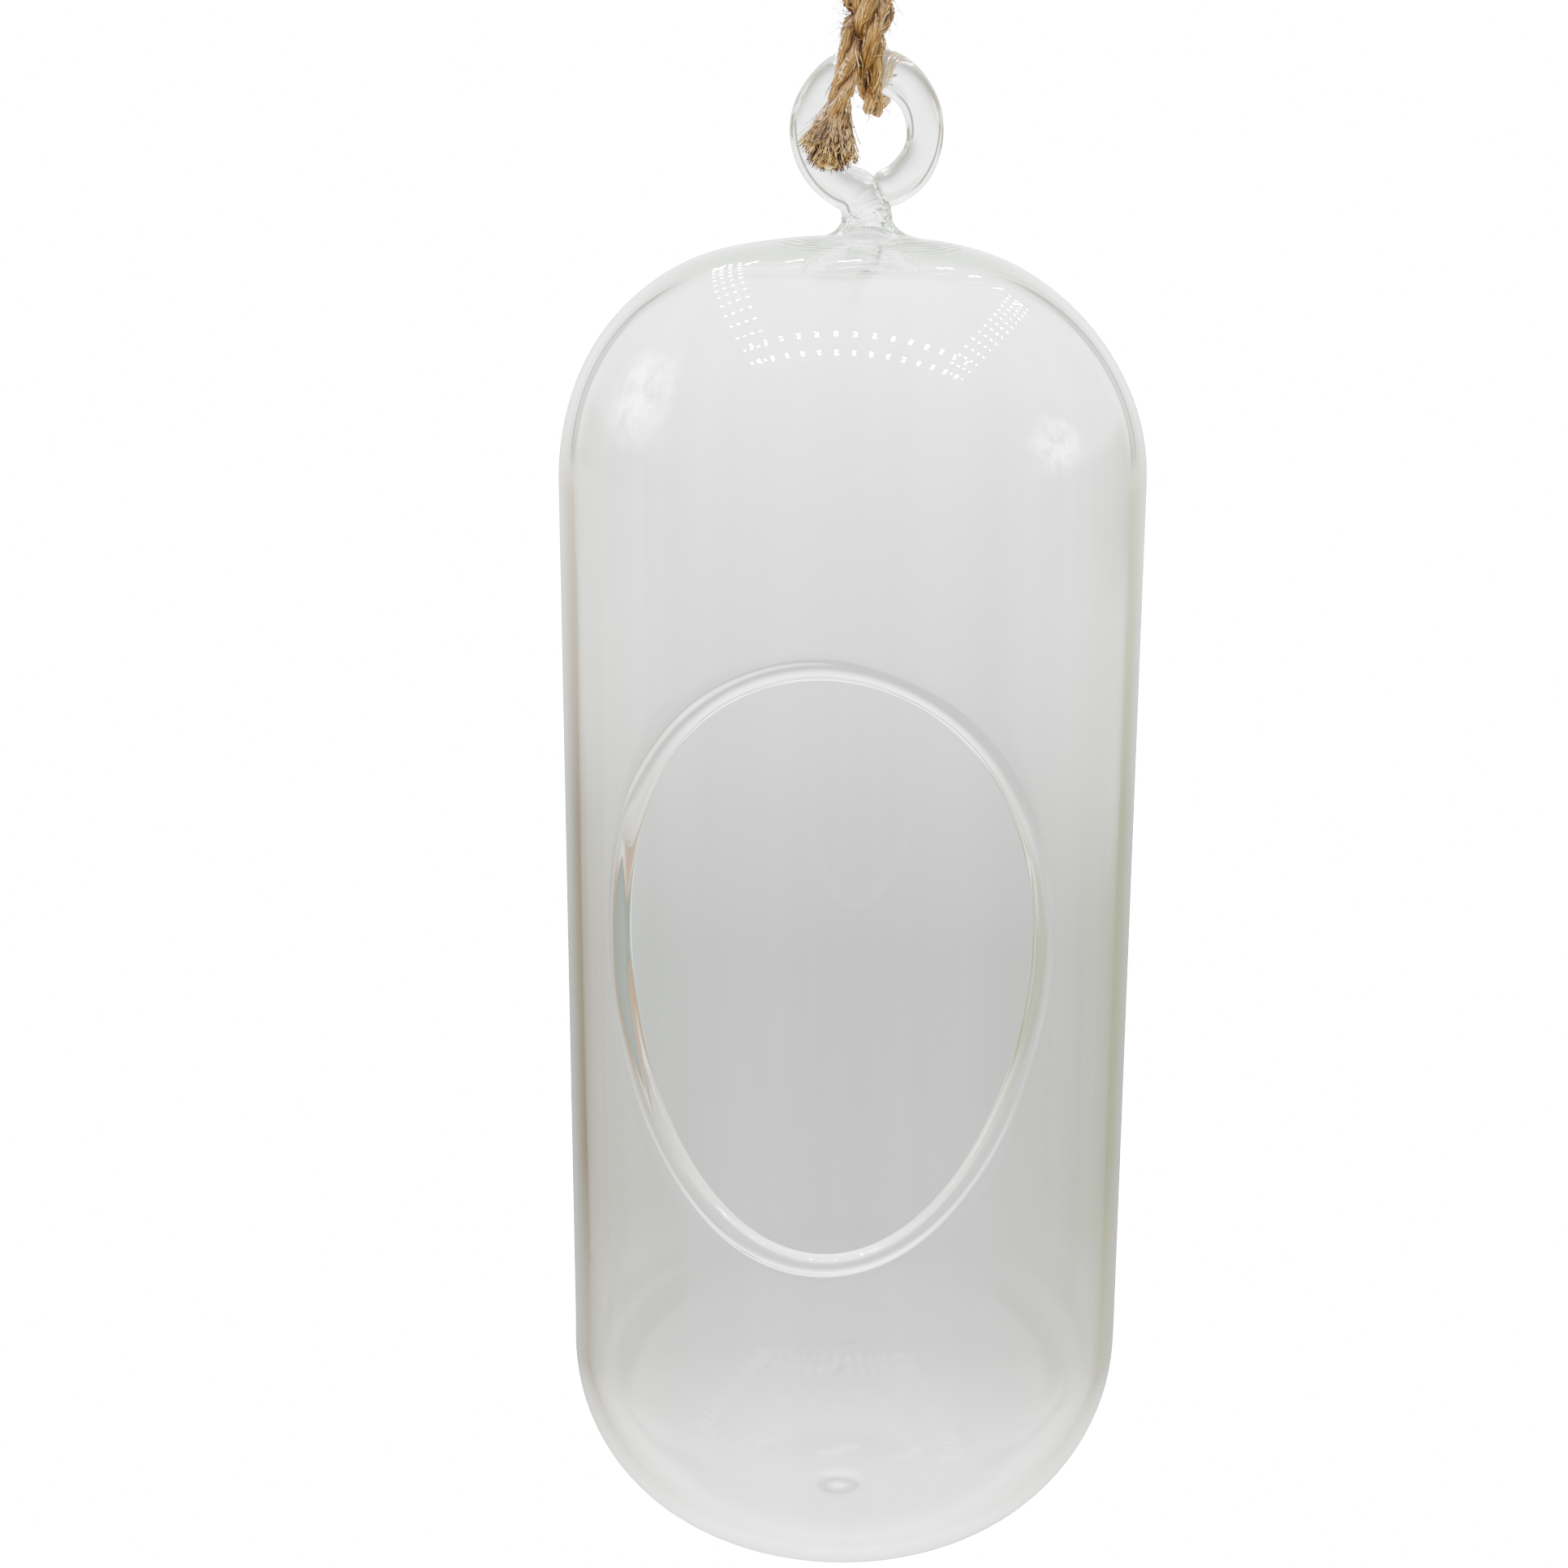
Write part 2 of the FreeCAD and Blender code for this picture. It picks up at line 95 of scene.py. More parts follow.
def ease(value, low, high):
    """The same with a soft start and end."""
    share = share_of(value, low, high)
    return share * share * (3 - 2 * share)


print("1 mm is", MM, "in the scene")

# %% [markdown]
# A material, the world and a Geometry Nodes group all hold a tree of nodes. One function adds a node to a tree
# with its settings and its links, and another gives a colour ramp its stops.


# %% Colour and node helpers
def linear(hex_colour):
    parts = [int(hex_colour[i : i + 2], 16) / 255 for i in (1, 3, 5)]
    return [c / 12.92 if c <= 0.04045 else ((c + 0.055) / 1.055) ** 2.4 for c in parts] + [1.0]


def empty_tree(owner):
    """The tree of a material or world, without the nodes that it starts with."""
    owner.use_nodes = True
    owner.node_tree.nodes.clear()
    return owner.node_tree


def add(tree, kind, settings=None, **inputs):
    """Adds a node with its settings. An input is a value, a socket, or a node, meaning its first output."""
    node = tree.nodes.new(kind)
    for key, value in (settings or {}).items():
        setattr(node, key, value)
    for key, value in inputs.items():
        socket = node.inputs[int(key[1:])] if key[0] == "_" else node.inputs[key.replace("_", " ")]
        if isinstance(value, bpy.types.Node):
            value = value.outputs[0]
        if isinstance(value, bpy.types.NodeSocket):
            tree.links.new(value, socket)
        else:
            socket.default_value = value
    return node


def set_stops(ramp, stops):
    """Gives a ramp its positions and colours."""
    marks = ramp.color_ramp.elements
    marks[0].position, marks[0].color = stops[0][0], linear(stops[0][1])
    marks[1].position, marks[1].color = stops[-1][0], linear(stops[-1][1])
    for position, colour in stops[1:-1]:
        marks.new(position).color = linear(colour)
    return ramp


print("middle grey, #808080, is", round(linear("#808080")[0], 3), "in linear light")

# %% [markdown]
# ## The camera
# The photograph was taken from a little above the vase and close to it, so the walls draw together downwards. The
# eye's place was found by fitting the outline of the capsule: about 0.37 m in front, 16 degrees down.

# %% Camera
EYE = (-10.93, -367.85, -83.3)
LOOK_DOWN = 15.76
CAMERA_ROLL = 0.14
LENS = 61.73

lens = bpy.data.cameras.new("camera")
lens.lens = LENS
lens.sensor_width = 36.0
lens.clip_start = 0.01
camera = placed("camera", lens)
camera.matrix_world = (
    Matrix.Translation(Vector(EYE) * MM)
    @ Matrix.Rotation(math.radians(90 - LOOK_DOWN), 4, "X")
    @ Matrix.Rotation(math.radians(CAMERA_ROLL), 4, "Z")
)
bpy.context.scene.camera = camera
print("camera", [round(c, 3) for c in camera.location])

# %% [markdown]
# ## The rope's route
# One jute rope does all the hanging. From the short end at the top knot it goes up and round the hanging loop,
# down through that knot as the standing part, down through the ring knot, under the glass ring, up again in front,
# once round the standing part and out as the tail. Each knot is a half hitch. The points are given as the corners
# of a smooth NURBS line, so the rope bends as rope does.

# %% Route
ROPE_ROUTE = [
    # short end, tucked through the top knot
    (-4.3, 2.2, -35.2),
    (-2.9, 1.5, -34.2),
    (-0.9, 0.9, -33.3),
    (1.4, 1.2, -33.2),
    (2.7, 0.6, -31.6),
    # once round the standing part
    (2.4, -1.6, -29.8),
    (0.2, -3.2, -28.6),
    (-2.3, -2.2, -27.8),
    (-2.9, 0.1, -26.4),
    # hanging loop
    (-3.0, 0.2, -22.0),
    (-5.2, 0.0, -13.0),
    (-6.7, 0.0, -7.5),
    (-6.7, 0.0, -1.9),
    (-2.7, 0.0, 2.05),
    (2.7, 0.0, 2.05),
    (6.7, 0.0, -1.9),
    (6.7, 0.0, -7.5),
    (5.2, 0.0, -13.0),
    (2.8, 0.0, -21.5),
    (1.0, 0.1, -27.0),
    (0.2, 0.1, -31.0),
    # standing part
    (0.0, 0.0, -38.0),
    (0.0, 0.0, -56.0),
    (0.0, 0.0, -71.0),
    (0.0, 0.5, -75.0),
    (0.2, 1.2, -79.0),
    (0.4, 2.4, -82.8),
    # down behind the glass ring, under its rod and up in front
    (1.1, 4.0, -86.4),
    (2.3, 5.1, -90.2),
    (1.5, 3.4, -93.5),
    (0.6, -2.0, -93.9),
    (0.0, -5.2, -91.0),
    (-0.1, -5.35, -87.2),
    (-0.2, -4.8, -83.4),
    (-0.1, -3.8, -79.0),
    # once round the standing part
    (-0.8, -2.9, -75.4),
    (-2.5, -1.4, -75.0),
    (-3.2, 0.8, -78.4),
    (-1.9, 2.8, -80.8),
    (0.8, 3.3, -79.2),
    (2.0, 1.4, -79.2),
    (2.1, -0.6, -82.0),
    (0.6, -1.5, -84.2),
    # out in front as the tail
    (-1.6, -2.4, -82.6),
    (-2.5, -4.4, -83.4),
    (-2.6, -6.6, -87.6),
    (-3.8, -9.4, -92.2),
    (-4.6, -11.2, -96.2),
]
ROPE_DIAMETER = 3.5


def smooth_line(corners_mm):
    """Points, in millimetres, of the smooth NURBS line with these corners, as Blender works them out."""
    curve = bpy.data.curves.new("route", "CURVE")
    curve.dimensions = "3D"
    line = curve.splines.new("NURBS")
    line.points.add(len(corners_mm) - 1)
    for place, corner in zip(line.points, corners_mm):
        place.co = (*(Vector(corner) * MM), 1.0)
    line.order_u = 3
    line.use_endpoint_u = True
    line.resolution_u = 10
    guide = placed("route", curve)
    bpy.context.view_layer.update()
    drawn = bpy.data.meshes.new_from_object(guide.evaluated_get(bpy.context.evaluated_depsgraph_get()))
    points = np.array([v.co for v in drawn.vertices]) / MM
    bpy.data.meshes.remove(drawn)
    bpy.data.objects.remove(guide)
    return points


rope_line = smooth_line(ROPE_ROUTE)

# %% [markdown]
# ## Strands
# Jute rope is laid: three strands lie side by side and turn round each other once every 17 mm. To lay them, a
# pair of directions square to the line is carried along it without twisting, and each strand circles in that
# pair. The rope is squeezed thinner in the knots and opens out where it rises in front of the ring, so its radius
# follows a short table of places along it.


# %% Lines and tubes
def resample(points, step):
    """Points at equal steps along a line."""
    along = np.concatenate([[0], np.cumsum(np.linalg.norm(np.diff(points, axis=0), axis=1))])
    places = np.linspace(0, along[-1], int(along[-1] / step) + 1)
    return np.stack([np.interp(places, along, points[:, i]) for i in range(3)], axis=1), places


def carried_frames(points):
    """At each point the line's heading and two directions square to it, carried along without twisting."""
    heading = np.gradient(points, axis=0)
    heading /= np.linalg.norm(heading, axis=1)[:, None]
    side = np.cross(heading[0], (0.3, 1.0, 0.2))
    sides = []
    for forward in heading:
        side = side - forward * side.dot(forward)
        side /= np.linalg.norm(side)
        sides.append(side)
    sides = np.array(sides)
    return heading, sides, np.cross(heading, sides)


def net_faces(rows, columns, left_out=None, capped=True):
    """Faces of a net of circles. If it is capped, the points of its two tips follow after its rows."""
    faces = []
    for i in range(rows - 1):
        for j in range(columns):
            if left_out is None or not left_out(i, j):
                k = (j + 1) % columns
                faces.append((i * columns + j, i * columns + k, (i + 1) * columns + k, (i + 1) * columns + j))
    if capped:
        last = (rows - 1) * columns
        start, end = last + columns, last + columns + 1
        faces += [(start, (j + 1) % columns, j) for j in range(columns)]
        faces += [(end, last + j, last + (j + 1) % columns) for j in range(columns)]
    return faces


def tube(centres, radii, around):
    """Points and faces of a tube of circles about the centres, with a low cone at each end."""
    heading, side, up = carried_frames(centres)
    angle = np.arange(around) * 2 * math.pi / around
    circle = np.cos(angle)[None, :, None] * side[:, None, :] + np.sin(angle)[None, :, None] * up[:, None, :]
    points = (centres[:, None, :] + circle * np.asarray(radii)[:, None, None]).reshape(-1, 3)
    cone = 0.5
    tips = [centres[0] - heading[0] * radii[0] * cone, centres[-1] + heading[-1] * radii[-1] * cone]
    return np.concatenate([points, tips]), net_faces(len(centres), around)


def join_tubes(tubes, around):
    """Tubes along centrelines with their radii, gathered: points, faces, and the heading at every point."""
    points, faces, headings, offset = [], [], [], 0
    for centres, radii in tubes:
        shape, own_faces = tube(centres, radii, around)
        points.append(shape)
        faces += [tuple(v + offset for v in f) for f in own_faces]
        heading = carried_frames(centres)[0]
        headings += [*np.repeat(heading, around, axis=0), heading[0], heading[-1]]
        offset += len(shape)
    return points, faces, headings


def for_each_point(along, around, start, end):
    """The values along a tube, spread over all its points."""
    return np.concatenate([np.repeat(along, around), [start, end]])


def nearest_place(line, places, point):
    """How far along the line it comes closest to the point."""
    return places[np.argmin(np.linalg.norm(line - np.array(point), axis=1))]


print("helpers for lines and tubes are ready")

# %% [markdown]
# Now the strands themselves. Each of their points is also given the direction that its fibres run in, and how
# open it lies: the colour is darker deep in the grooves, where light hardly comes.

# %% Lay the strands
STRANDS = 3
LAY = 17.0  # length of one full turn of a strand
STRAND_SHARE = 0.52  # radius of a strand as a share of the rope's
AROUND = 20
STEP = 0.3
PATTERN_SHIFT = 57.3  # how far apart the strands lie on the pattern of the jute

rope_points, rope_places = resample(rope_line, STEP)
# places along the rope, each named by a point near it, and the rope's radius there
SQUEEZE = [
    ((-4.3, 2.2, -35.2), 1.45),
    ((1.4, 1.2, -33.2), 1.3),
    ((-2.3, -2.2, -27.8), 1.4),
    ((-5.2, 0.0, -13.0), 1.7),
    ((2.8, 0.0, -21.5), 1.65),
    ((0.2, 0.1, -31.0), 1.3),
    ((0.0, 0.0, -40.0), 1.7),
    ((0.0, 0.0, -70.0), 1.65),
    ((0.1, 1.1, -79.0), 1.3),
    ((1.6, 3.9, -86.4), 1.5),
    ((1.0, 0.0, -93.2), 1.35),
    ((-0.1, -5.1, -87.2), 2.0),
    ((-0.1, -4.4, -81.6), 2.2),
    ((-2.7, 0.6, -77.4), 1.5),
    ((2.3, 0.0, -81.4), 1.5),
    ((-1.6, -2.6, -83.0), 1.4),
    ((-2.6, -6.4, -87.2), 1.55),
    ((-3.8, -9.4, -92.2), 1.65),
    ((-4.6, -11.2, -96.2), 1.9),
]
squeeze_places = [nearest_place(rope_points, rope_places, point) for point, _ in SQUEEZE]
rope_radius = np.interp(rope_places, squeeze_places, [radius for _, radius in SQUEEZE])


def strand_centres(points, places, radii, share, lay, phase):
    """The centreline of one strand of a laid rope."""
    _, side, up = carried_frames(points)
    turn = 2 * math.pi * places / lay + phase
    reach = radii * (1 - share)
    return points + side * (reach * np.cos(turn))[:, None] + up * (reach * np.sin(turn))[:, None]


# painted shade: a strand's surface is darkened deep in a groove, and where another stretch of the rope presses on
# it, as little light reaches there
GROOVE_DEEP, GROOVE_OPEN = 0.56, 0.92
PRESSED, FREE = -0.35, 0.95
SAME_STRETCH, FAR_AWAY = 6.0, 9.0


def light_reach(shape, own_place, points, places, radii):
    """How much light reaches a strand's surface, for its painted shade: 1 where it lies open, towards 0 in a
    groove and where stretches press together.
    """
    here = np.argmin(np.abs(places[None, :] - own_place[:, None]), axis=1)
    groove = np.linalg.norm(shape - points[here], axis=1) / radii[here]
    gaps = np.linalg.norm(shape[:, None, :] - points[None, ::2, :], axis=2) - radii[None, ::2]
    gaps[np.abs(places[None, ::2] - own_place[:, None]) < SAME_STRETCH] = FAR_AWAY
    return share_of(groove, GROOVE_DEEP, GROOVE_OPEN) * share_of(gaps.min(axis=1), PRESSED, FREE)


def rope_mesh(name, points, places, radii):
    """The laid strands, each with a UV map: U round the strand and V along it, both in millimetres."""
    tubes = []
    for number in range(STRANDS):
        centres = strand_centres(points, places, radii, STRAND_SHARE, LAY, number * 2 * math.pi / STRANDS)
        # a strand of jute is uneven: it swells and thins along its length
        uneven = 1 + 0.07 * np.sin(places * 0.9 + number * 2.1) + 0.05 * np.sin(places * 2.3 + number * 4.0)
        tubes.append((centres, radii * STRAND_SHARE * uneven))
    shapes, faces, headings = join_tubes(tubes, AROUND)
    own_place = for_each_point(places, AROUND, places[0], places[-1])
    # how much light reaches each point, kept for the painted shade of the strands
    opens = np.concatenate([light_reach(shape, own_place, points, places, radii) for shape in shapes])
    made = piece(name, np.concatenate(shapes), faces)
    mark_points(made, along=headings, open=opens, left=np.ones(len(opens)))
    round_mm = math.pi * ROPE_DIAMETER * STRAND_SHARE
    uv = []
    for number in range(STRANDS):
        uv += [(j / AROUND * round_mm, place + number * PATTERN_SHIFT) for place in places for j in range(AROUND)]
        uv += [(0.0, places[0]), (0.0, places[-1])]
    layer = made.data.uv_layers.new(name="lay")
    for face in made.data.polygons:
        us = [uv[v][0] for v in face.vertices]
        wrap = max(us) - min(us) > round_mm / 2
        for loop, vertex in zip(face.loop_indices, face.vertices):
            u, v = uv[vertex]
            layer.data[loop].uv = (u + round_mm if wrap and u < round_mm / 2 else u, v)
    return made


rope = rope_mesh("jute_rope", rope_points, rope_places, rope_radius)
print("rope strands:", len(rope.data.polygons), "faces")

# %% [markdown]
# ## The blown capsule
# The body is a tube of clear borosilicate glass, blown to a flattened dome at each end: arcs that run into each
# other without a corner. Half of its section is walked from the pole of the base to the pole of the crown, with
# the direction that the surface faces at each step. The inner wall is the same walk, one wall thickness in.

# %% Half section of the capsule
BODY_RADIUS = 40.0
BODY_LENGTH = 189.6
WALL = 2.0
BASE_ARC, BASE_CORNER = 104.0, 28.0
CROWN_ARC, SHOULDER = 61.5, 32.0
AXIS_X, AXIS_Y = -1.75, -2.8
BASE_Z = -299.145

low = math.asin((BODY_RADIUS - BASE_CORNER) / (BASE_ARC - BASE_CORNER))
high = math.asin((BODY_RADIUS - SHOULDER) / (CROWN_ARC - SHOULDER))
CORNER_Z = BASE_ARC - (BASE_ARC - BASE_CORNER) * math.cos(low)
SHOULDER_Z = BODY_LENGTH - CROWN_ARC + (CROWN_ARC - SHOULDER) * math.cos(high)


def arc_walk(centre_r, centre_z, radius, start, end, steps):
    """Steps along an arc of the section, each with the direction that the surface faces."""
    facing = [(math.cos(a), math.sin(a)) for a in np.linspace(start, end, steps)]
    return [(centre_r + radius * nr, centre_z + radius * nz, nr, nz) for nr, nz in facing]


quarter = math.pi / 2
WINDOW_ROWS = np.linspace(48.0, 148.0, 51)
section = arc_walk(0, BASE_ARC, BASE_ARC, -quarter, low - quarter, 16)
section += arc_walk(BODY_RADIUS - BASE_CORNER, CORNER_Z, BASE_CORNER, low - quarter, 0, 26)[1:]
section += [(BODY_RADIUS, z, 1.0, 0.0) for z in np.linspace(CORNER_Z, WINDOW_ROWS[0], 10)[1:-1]]
first_window_row = len(section)
section += [(BODY_RADIUS, z, 1.0, 0.0) for z in WINDOW_ROWS]
last_window_row = len(section) - 1
section += [(BODY_RADIUS, z, 1.0, 0.0) for z in np.linspace(WINDOW_ROWS[-1], SHOULDER_Z, 6)[1:-1]]
section += arc_walk(BODY_RADIUS - SHOULDER, SHOULDER_Z, SHOULDER, 0, quarter - high, 26)
section += arc_walk(0, BODY_LENGTH - CROWN_ARC, CROWN_ARC, quarter - high, quarter, 22)[1:]
section = np.array(section)
print("section of", len(section), "steps, straight from", round(CORNER_Z, 1), "to", round(SHOULDER_Z, 1))

# %% [markdown]
# ## The side window and its lip
# The window is cut hot and its edge melts back into a round bead, a little thicker than the wall. A plain hole in
# a grid of faces would show as ragged in glass, where every facet bends the light. So the patch of wall round the
# window is a web of its own: rings that start on the grid of the tube, take the shape of the egg, run round the
# bead, and go back the same way on the inside.

# %% Window web
COLUMNS = 192
PATCH_COLUMNS = 32
WINDOW_HALF = 27.1
WINDOW_RISE, WINDOW_DROP = 36.8, 41.7
WINDOW_Z = BODY_LENGTH - 89.1
WINDOW_TURN = math.radians(-6.5)
BEAD_THIN, BEAD_THICK = 1.25, 1.6
FADE = 1.4  # how far from the bead the wall starts to thicken
WEB_STEPS = 9
MIDDLE_R = BODY_RADIUS - WALL / 2


def on_wall(along, z, out):
    """A point of the wall: along is the arc round the middle of the wall, and out is measured from that middle."""
    azimuth = along / MIDDLE_R + WINDOW_TURN
    radius = MIDDLE_R + out
    return np.stack([radius * np.sin(azimuth), -radius * np.cos(azimuth), z], axis=-1)


step = 2 * math.pi / COLUMNS * MIDDLE_R
columns = np.arange(-PATCH_COLUMNS, PATCH_COLUMNS + 1) * step
low_z, high_z = WINDOW_ROWS[0], WINDOW_ROWS[-1]
border = [(c, low_z) for c in columns]
border += [(columns[-1], z) for z in WINDOW_ROWS[1:-1]]
border += [(c, high_z) for c in columns[::-1]]
border += [(columns[0], z) for z in WINDOW_ROWS[-2:0:-1]]
border = np.array(border)

# the egg's edge in the direction of each point of the border, flat as seen from the front
flat_x = MIDDLE_R * np.sin(border[:, 0] / MIDDLE_R)
flat_z = border[:, 1] - WINDOW_Z
height = np.where(flat_z > 0, WINDOW_RISE, WINDOW_DROP)
scale = 1 / np.hypot(flat_x / WINDOW_HALF, flat_z / height)
edge = np.stack([MIDDLE_R * np.arcsin(flat_x * scale / MIDDLE_R), WINDOW_Z + flat_z * scale], axis=1)
tangent = np.roll(edge, -1, axis=0) - np.roll(edge, 1, axis=0)
tangent /= np.linalg.norm(tangent, axis=1)[:, None]
outward = np.stack([tangent[:, 1], -tangent[:, 0]], axis=1)

# the glass ran a little thicker towards the foot of the window and its left side
lean = np.clip(0.5 - 0.35 * flat_z / WINDOW_DROP - 0.35 * flat_x / WINDOW_HALF, 0, 1)
# and as a torch melts it bit by bit, it is never quite even
turn = np.arctan2(flat_z, flat_x)
bead = BEAD_THIN + (BEAD_THICK - BEAD_THIN) * lean
bead += 0.06 * np.sin(3 * turn + 1.0) + 0.05 * np.sin(7 * turn + 2.0) + 0.03 * np.sin(13 * turn)
edge += outward * (0.16 * np.sin(2 * turn + 0.5) + 0.07 * np.sin(5 * turn + 2.5))[:, None]
web = []
for share in np.linspace(0, 1, WEB_STEPS)[:-1]:
    flat = border + (edge + outward * (bead + FADE)[:, None] - border) * share
    web.append((flat, np.full(len(flat), WALL / 2)))
for share in np.linspace(1, 0, WEB_STEPS):
    flat = edge + outward * (bead + FADE * share)[:, None]
    web.append((flat, WALL / 2 + (bead - WALL / 2) * (0.5 + 0.5 * math.cos(math.pi * share))))
for angle in np.linspace(quarter, 0, WEB_STEPS)[1:]:
    web.append((edge + outward * (bead * (1 - math.cos(angle)))[:, None], bead * math.sin(angle)))
web += [(flat, -out) for flat, out in web[-2::-1]]
web = np.array([on_wall(flat[:, 0], flat[:, 1], out) for flat, out in web])
print("window web of", web.shape[0], "rings and", web.shape[1], "columns")

# %% [markdown]
# ## The neck and the ring
# The crown was pulled up into a short neck while soft, and a rod of solid glass was set on it and curled into a
# ring, with its end laid back against its own stem. On the mesh this is one skin: the circles of the crown slide
# from the axis of the body to the axis of the stem, rise up the flare, and go on round the rod.

# %% Crown, neck and rod
STEM_X, STEM_Y = 1.75, 2.8
NECK_RADIUS, NECK_FLARE, FLARE_RIGHT = 3.4, 3.0, 2.2
NECK_Z = BODY_LENGTH + 1.55
SLIDE_FROM, FOLDS_FROM = 26.0, 0.68
WRINKLE, FOLDS = 0.05, 0.03
ROD_RADIUS = 2.6
RING_RADIUS = 7.7
STEM_BEND = 4.0
LAP = math.radians(67)

azimuths = WINDOW_TURN + np.arange(COLUMNS) * 2 * math.pi / COLUMNS
round_x, round_y = np.sin(azimuths), -np.cos(azimuths)


def crown_z(r):
    """Height of the outside of the crown at a distance from the axis."""
    roof = BODY_LENGTH - CROWN_ARC + np.sqrt(CROWN_ARC**2 - r**2)
    shoulder = SHOULDER_Z + np.sqrt(SHOULDER**2 - np.maximum(r - BODY_RADIUS + SHOULDER, 0) ** 2)
    return np.where(r < CROWN_ARC * math.sin(high), roof, shoulder)


def wrinkle(x, y, z, strength):
    """Fine uneven folds that go round the neck, where the soft glass was pushed together."""
    turn = np.arctan2(y, x)
    wave = np.sin(z * 5.2 + 1.1 * np.sin(turn * 2 + 0.7) + 0.6 * np.sin(turn * 5))
    wave += 0.7 * np.sin(z * 9.1 + 2.0 * np.sin(turn + 2.1) + 0.5 * np.sin(turn * 7 + 1.0))
    return strength * wave


outer_rows = []
for r, z, _, _ in section:
    if z > SHOULDER_Z and r < SLIDE_FROM:
        break
    outer_rows.append(np.stack([r * round_x, r * round_y, np.full(COLUMNS, z)], axis=1))
# the flare runs out further on the right
flare = NECK_FLARE + FLARE_RIGHT * (0.5 + 0.5 * round_x)
flare_start = NECK_RADIUS + flare
for share in [*np.linspace(0, FOLDS_FROM, 16)[:-1], *np.linspace(FOLDS_FROM, 1, 24)]:
    r = SLIDE_FROM + (flare_start - SLIDE_FROM) * share
    slide = 0.5 - 0.5 * math.cos(math.pi * share)
    x, y = STEM_X * slide + r * round_x, STEM_Y * slide + r * round_y
    # the folds of the neck run out over the crown
    fold_share = float(share_of(share, FOLDS_FROM, 1))
    folds = wrinkle(round_x, round_y, -r, FOLDS * math.sin(math.pi * fold_share))
    outer_rows.append(np.stack([x, y, crown_z(np.hypot(x, y)) + folds], axis=1))
for angle in np.linspace(0, quarter, 30)[1:]:
    r = flare_start - flare * math.sin(angle)
    share = 1 - math.cos(angle)
    ground = crown_z(np.hypot(STEM_X + r * round_x, STEM_Y + r * round_y))
    z = ground + (NECK_Z - ground) * share
    r = r + wrinkle(round_x, round_y, z, WRINKLE * math.sin(angle))
    outer_rows.append(np.stack([STEM_X + r * round_x, STEM_Y + r * round_y, z], axis=1))

# the rod's centreline lies in one upright plane: up the stem, round the bend, then round the ring
ring_to_neck = math.sqrt((RING_RADIUS + STEM_BEND) ** 2 - STEM_BEND**2)
bend_angle = math.acos(STEM_BEND / (RING_RADIUS + STEM_BEND))
ring_z = NECK_Z + ring_to_neck
rod = [
    (-STEM_BEND + STEM_BEND * math.cos(a), NECK_Z + STEM_BEND * math.sin(a), a + quarter)
    for a in np.linspace(0, bend_angle, 30)[1:-1]
]
rod += [
    (RING_RADIUS * math.cos(a), ring_z + RING_RADIUS * math.sin(a), a - quarter)
    for a in np.linspace(math.pi + bend_angle, -LAP, 80)
]
rod = np.array(rod)
walked = np.concatenate([[0], np.cumsum(np.hypot(*np.diff(rod[:, :2], axis=0).T))])
swell = 0.12 * np.sin(walked * 0.16 + 4.2) + 0.04 * np.sin(walked * 0.9)
rod_radii = ROD_RADIUS + (NECK_RADIUS - ROD_RADIUS) * np.exp(-((walked / 7.0) ** 2.5))
rod_radii += swell * share_of(walked, 0, 6)
# the lapped end is a little thicker
rod_radii += 0.15 * share_of(walked, walked[-1] - 12, walked[-1] - 4)


def rod_circle(x, z, heading, radius, ahead=0.0):
    """A circle square to the rod, a little ahead of a point of its centreline."""
    across_x, across_z = math.cos(heading - quarter), math.sin(heading - quarter)
    centre_x, centre_z = STEM_X + x + ahead * math.cos(heading), z + ahead * math.sin(heading)
    side = radius * round_x
    return np.stack([centre_x + side * across_x, STEM_Y + radius * round_y, centre_z + side * across_z], axis=1)


for (x, z, heading), radius, gone in zip(rod, rod_radii, walked):
    radius = radius + wrinkle(round_x, round_y, z, WRINKLE * math.exp(-((gone / 2.4) ** 2)))
    outer_rows.append(rod_circle(x, z, heading, radius))
end_x, end_z, end_heading = rod[-1]
end_radius = rod_radii[-1]
for angle in np.linspace(0, quarter, 14)[1:-1]:
    radius, ahead = end_radius * math.cos(angle), end_radius * math.sin(angle)
    outer_rows.append(rod_circle(end_x, end_z, end_heading, radius, ahead))
rod_tip = (
    STEM_X + end_x + math.cos(end_heading) * end_radius,
    STEM_Y,
    end_z + math.sin(end_heading) * end_radius,
)
print("outer skin of", len(outer_rows), "circles, ring centre at", round(ring_z, 2))

# %% [markdown]
# ## One closed skin of glass
# The outside, the inside and the window's web are made as separate nets whose borders share their points, and
# merging those points closes the skin. In the middle of the base the inside carries the small round mark where
# the tube was sealed.

# %% Join the skin
SEAL_RADIUS, SEAL_RISE = 3.7, 0.8
NECK_HOLLOW, HOLLOW_RADIUS = 5.0, 2.6
UNDER_NECK = 7.0

inner_walk = [(r - nr * WALL, z - nz * WALL) for r, z, nr, nz in section]
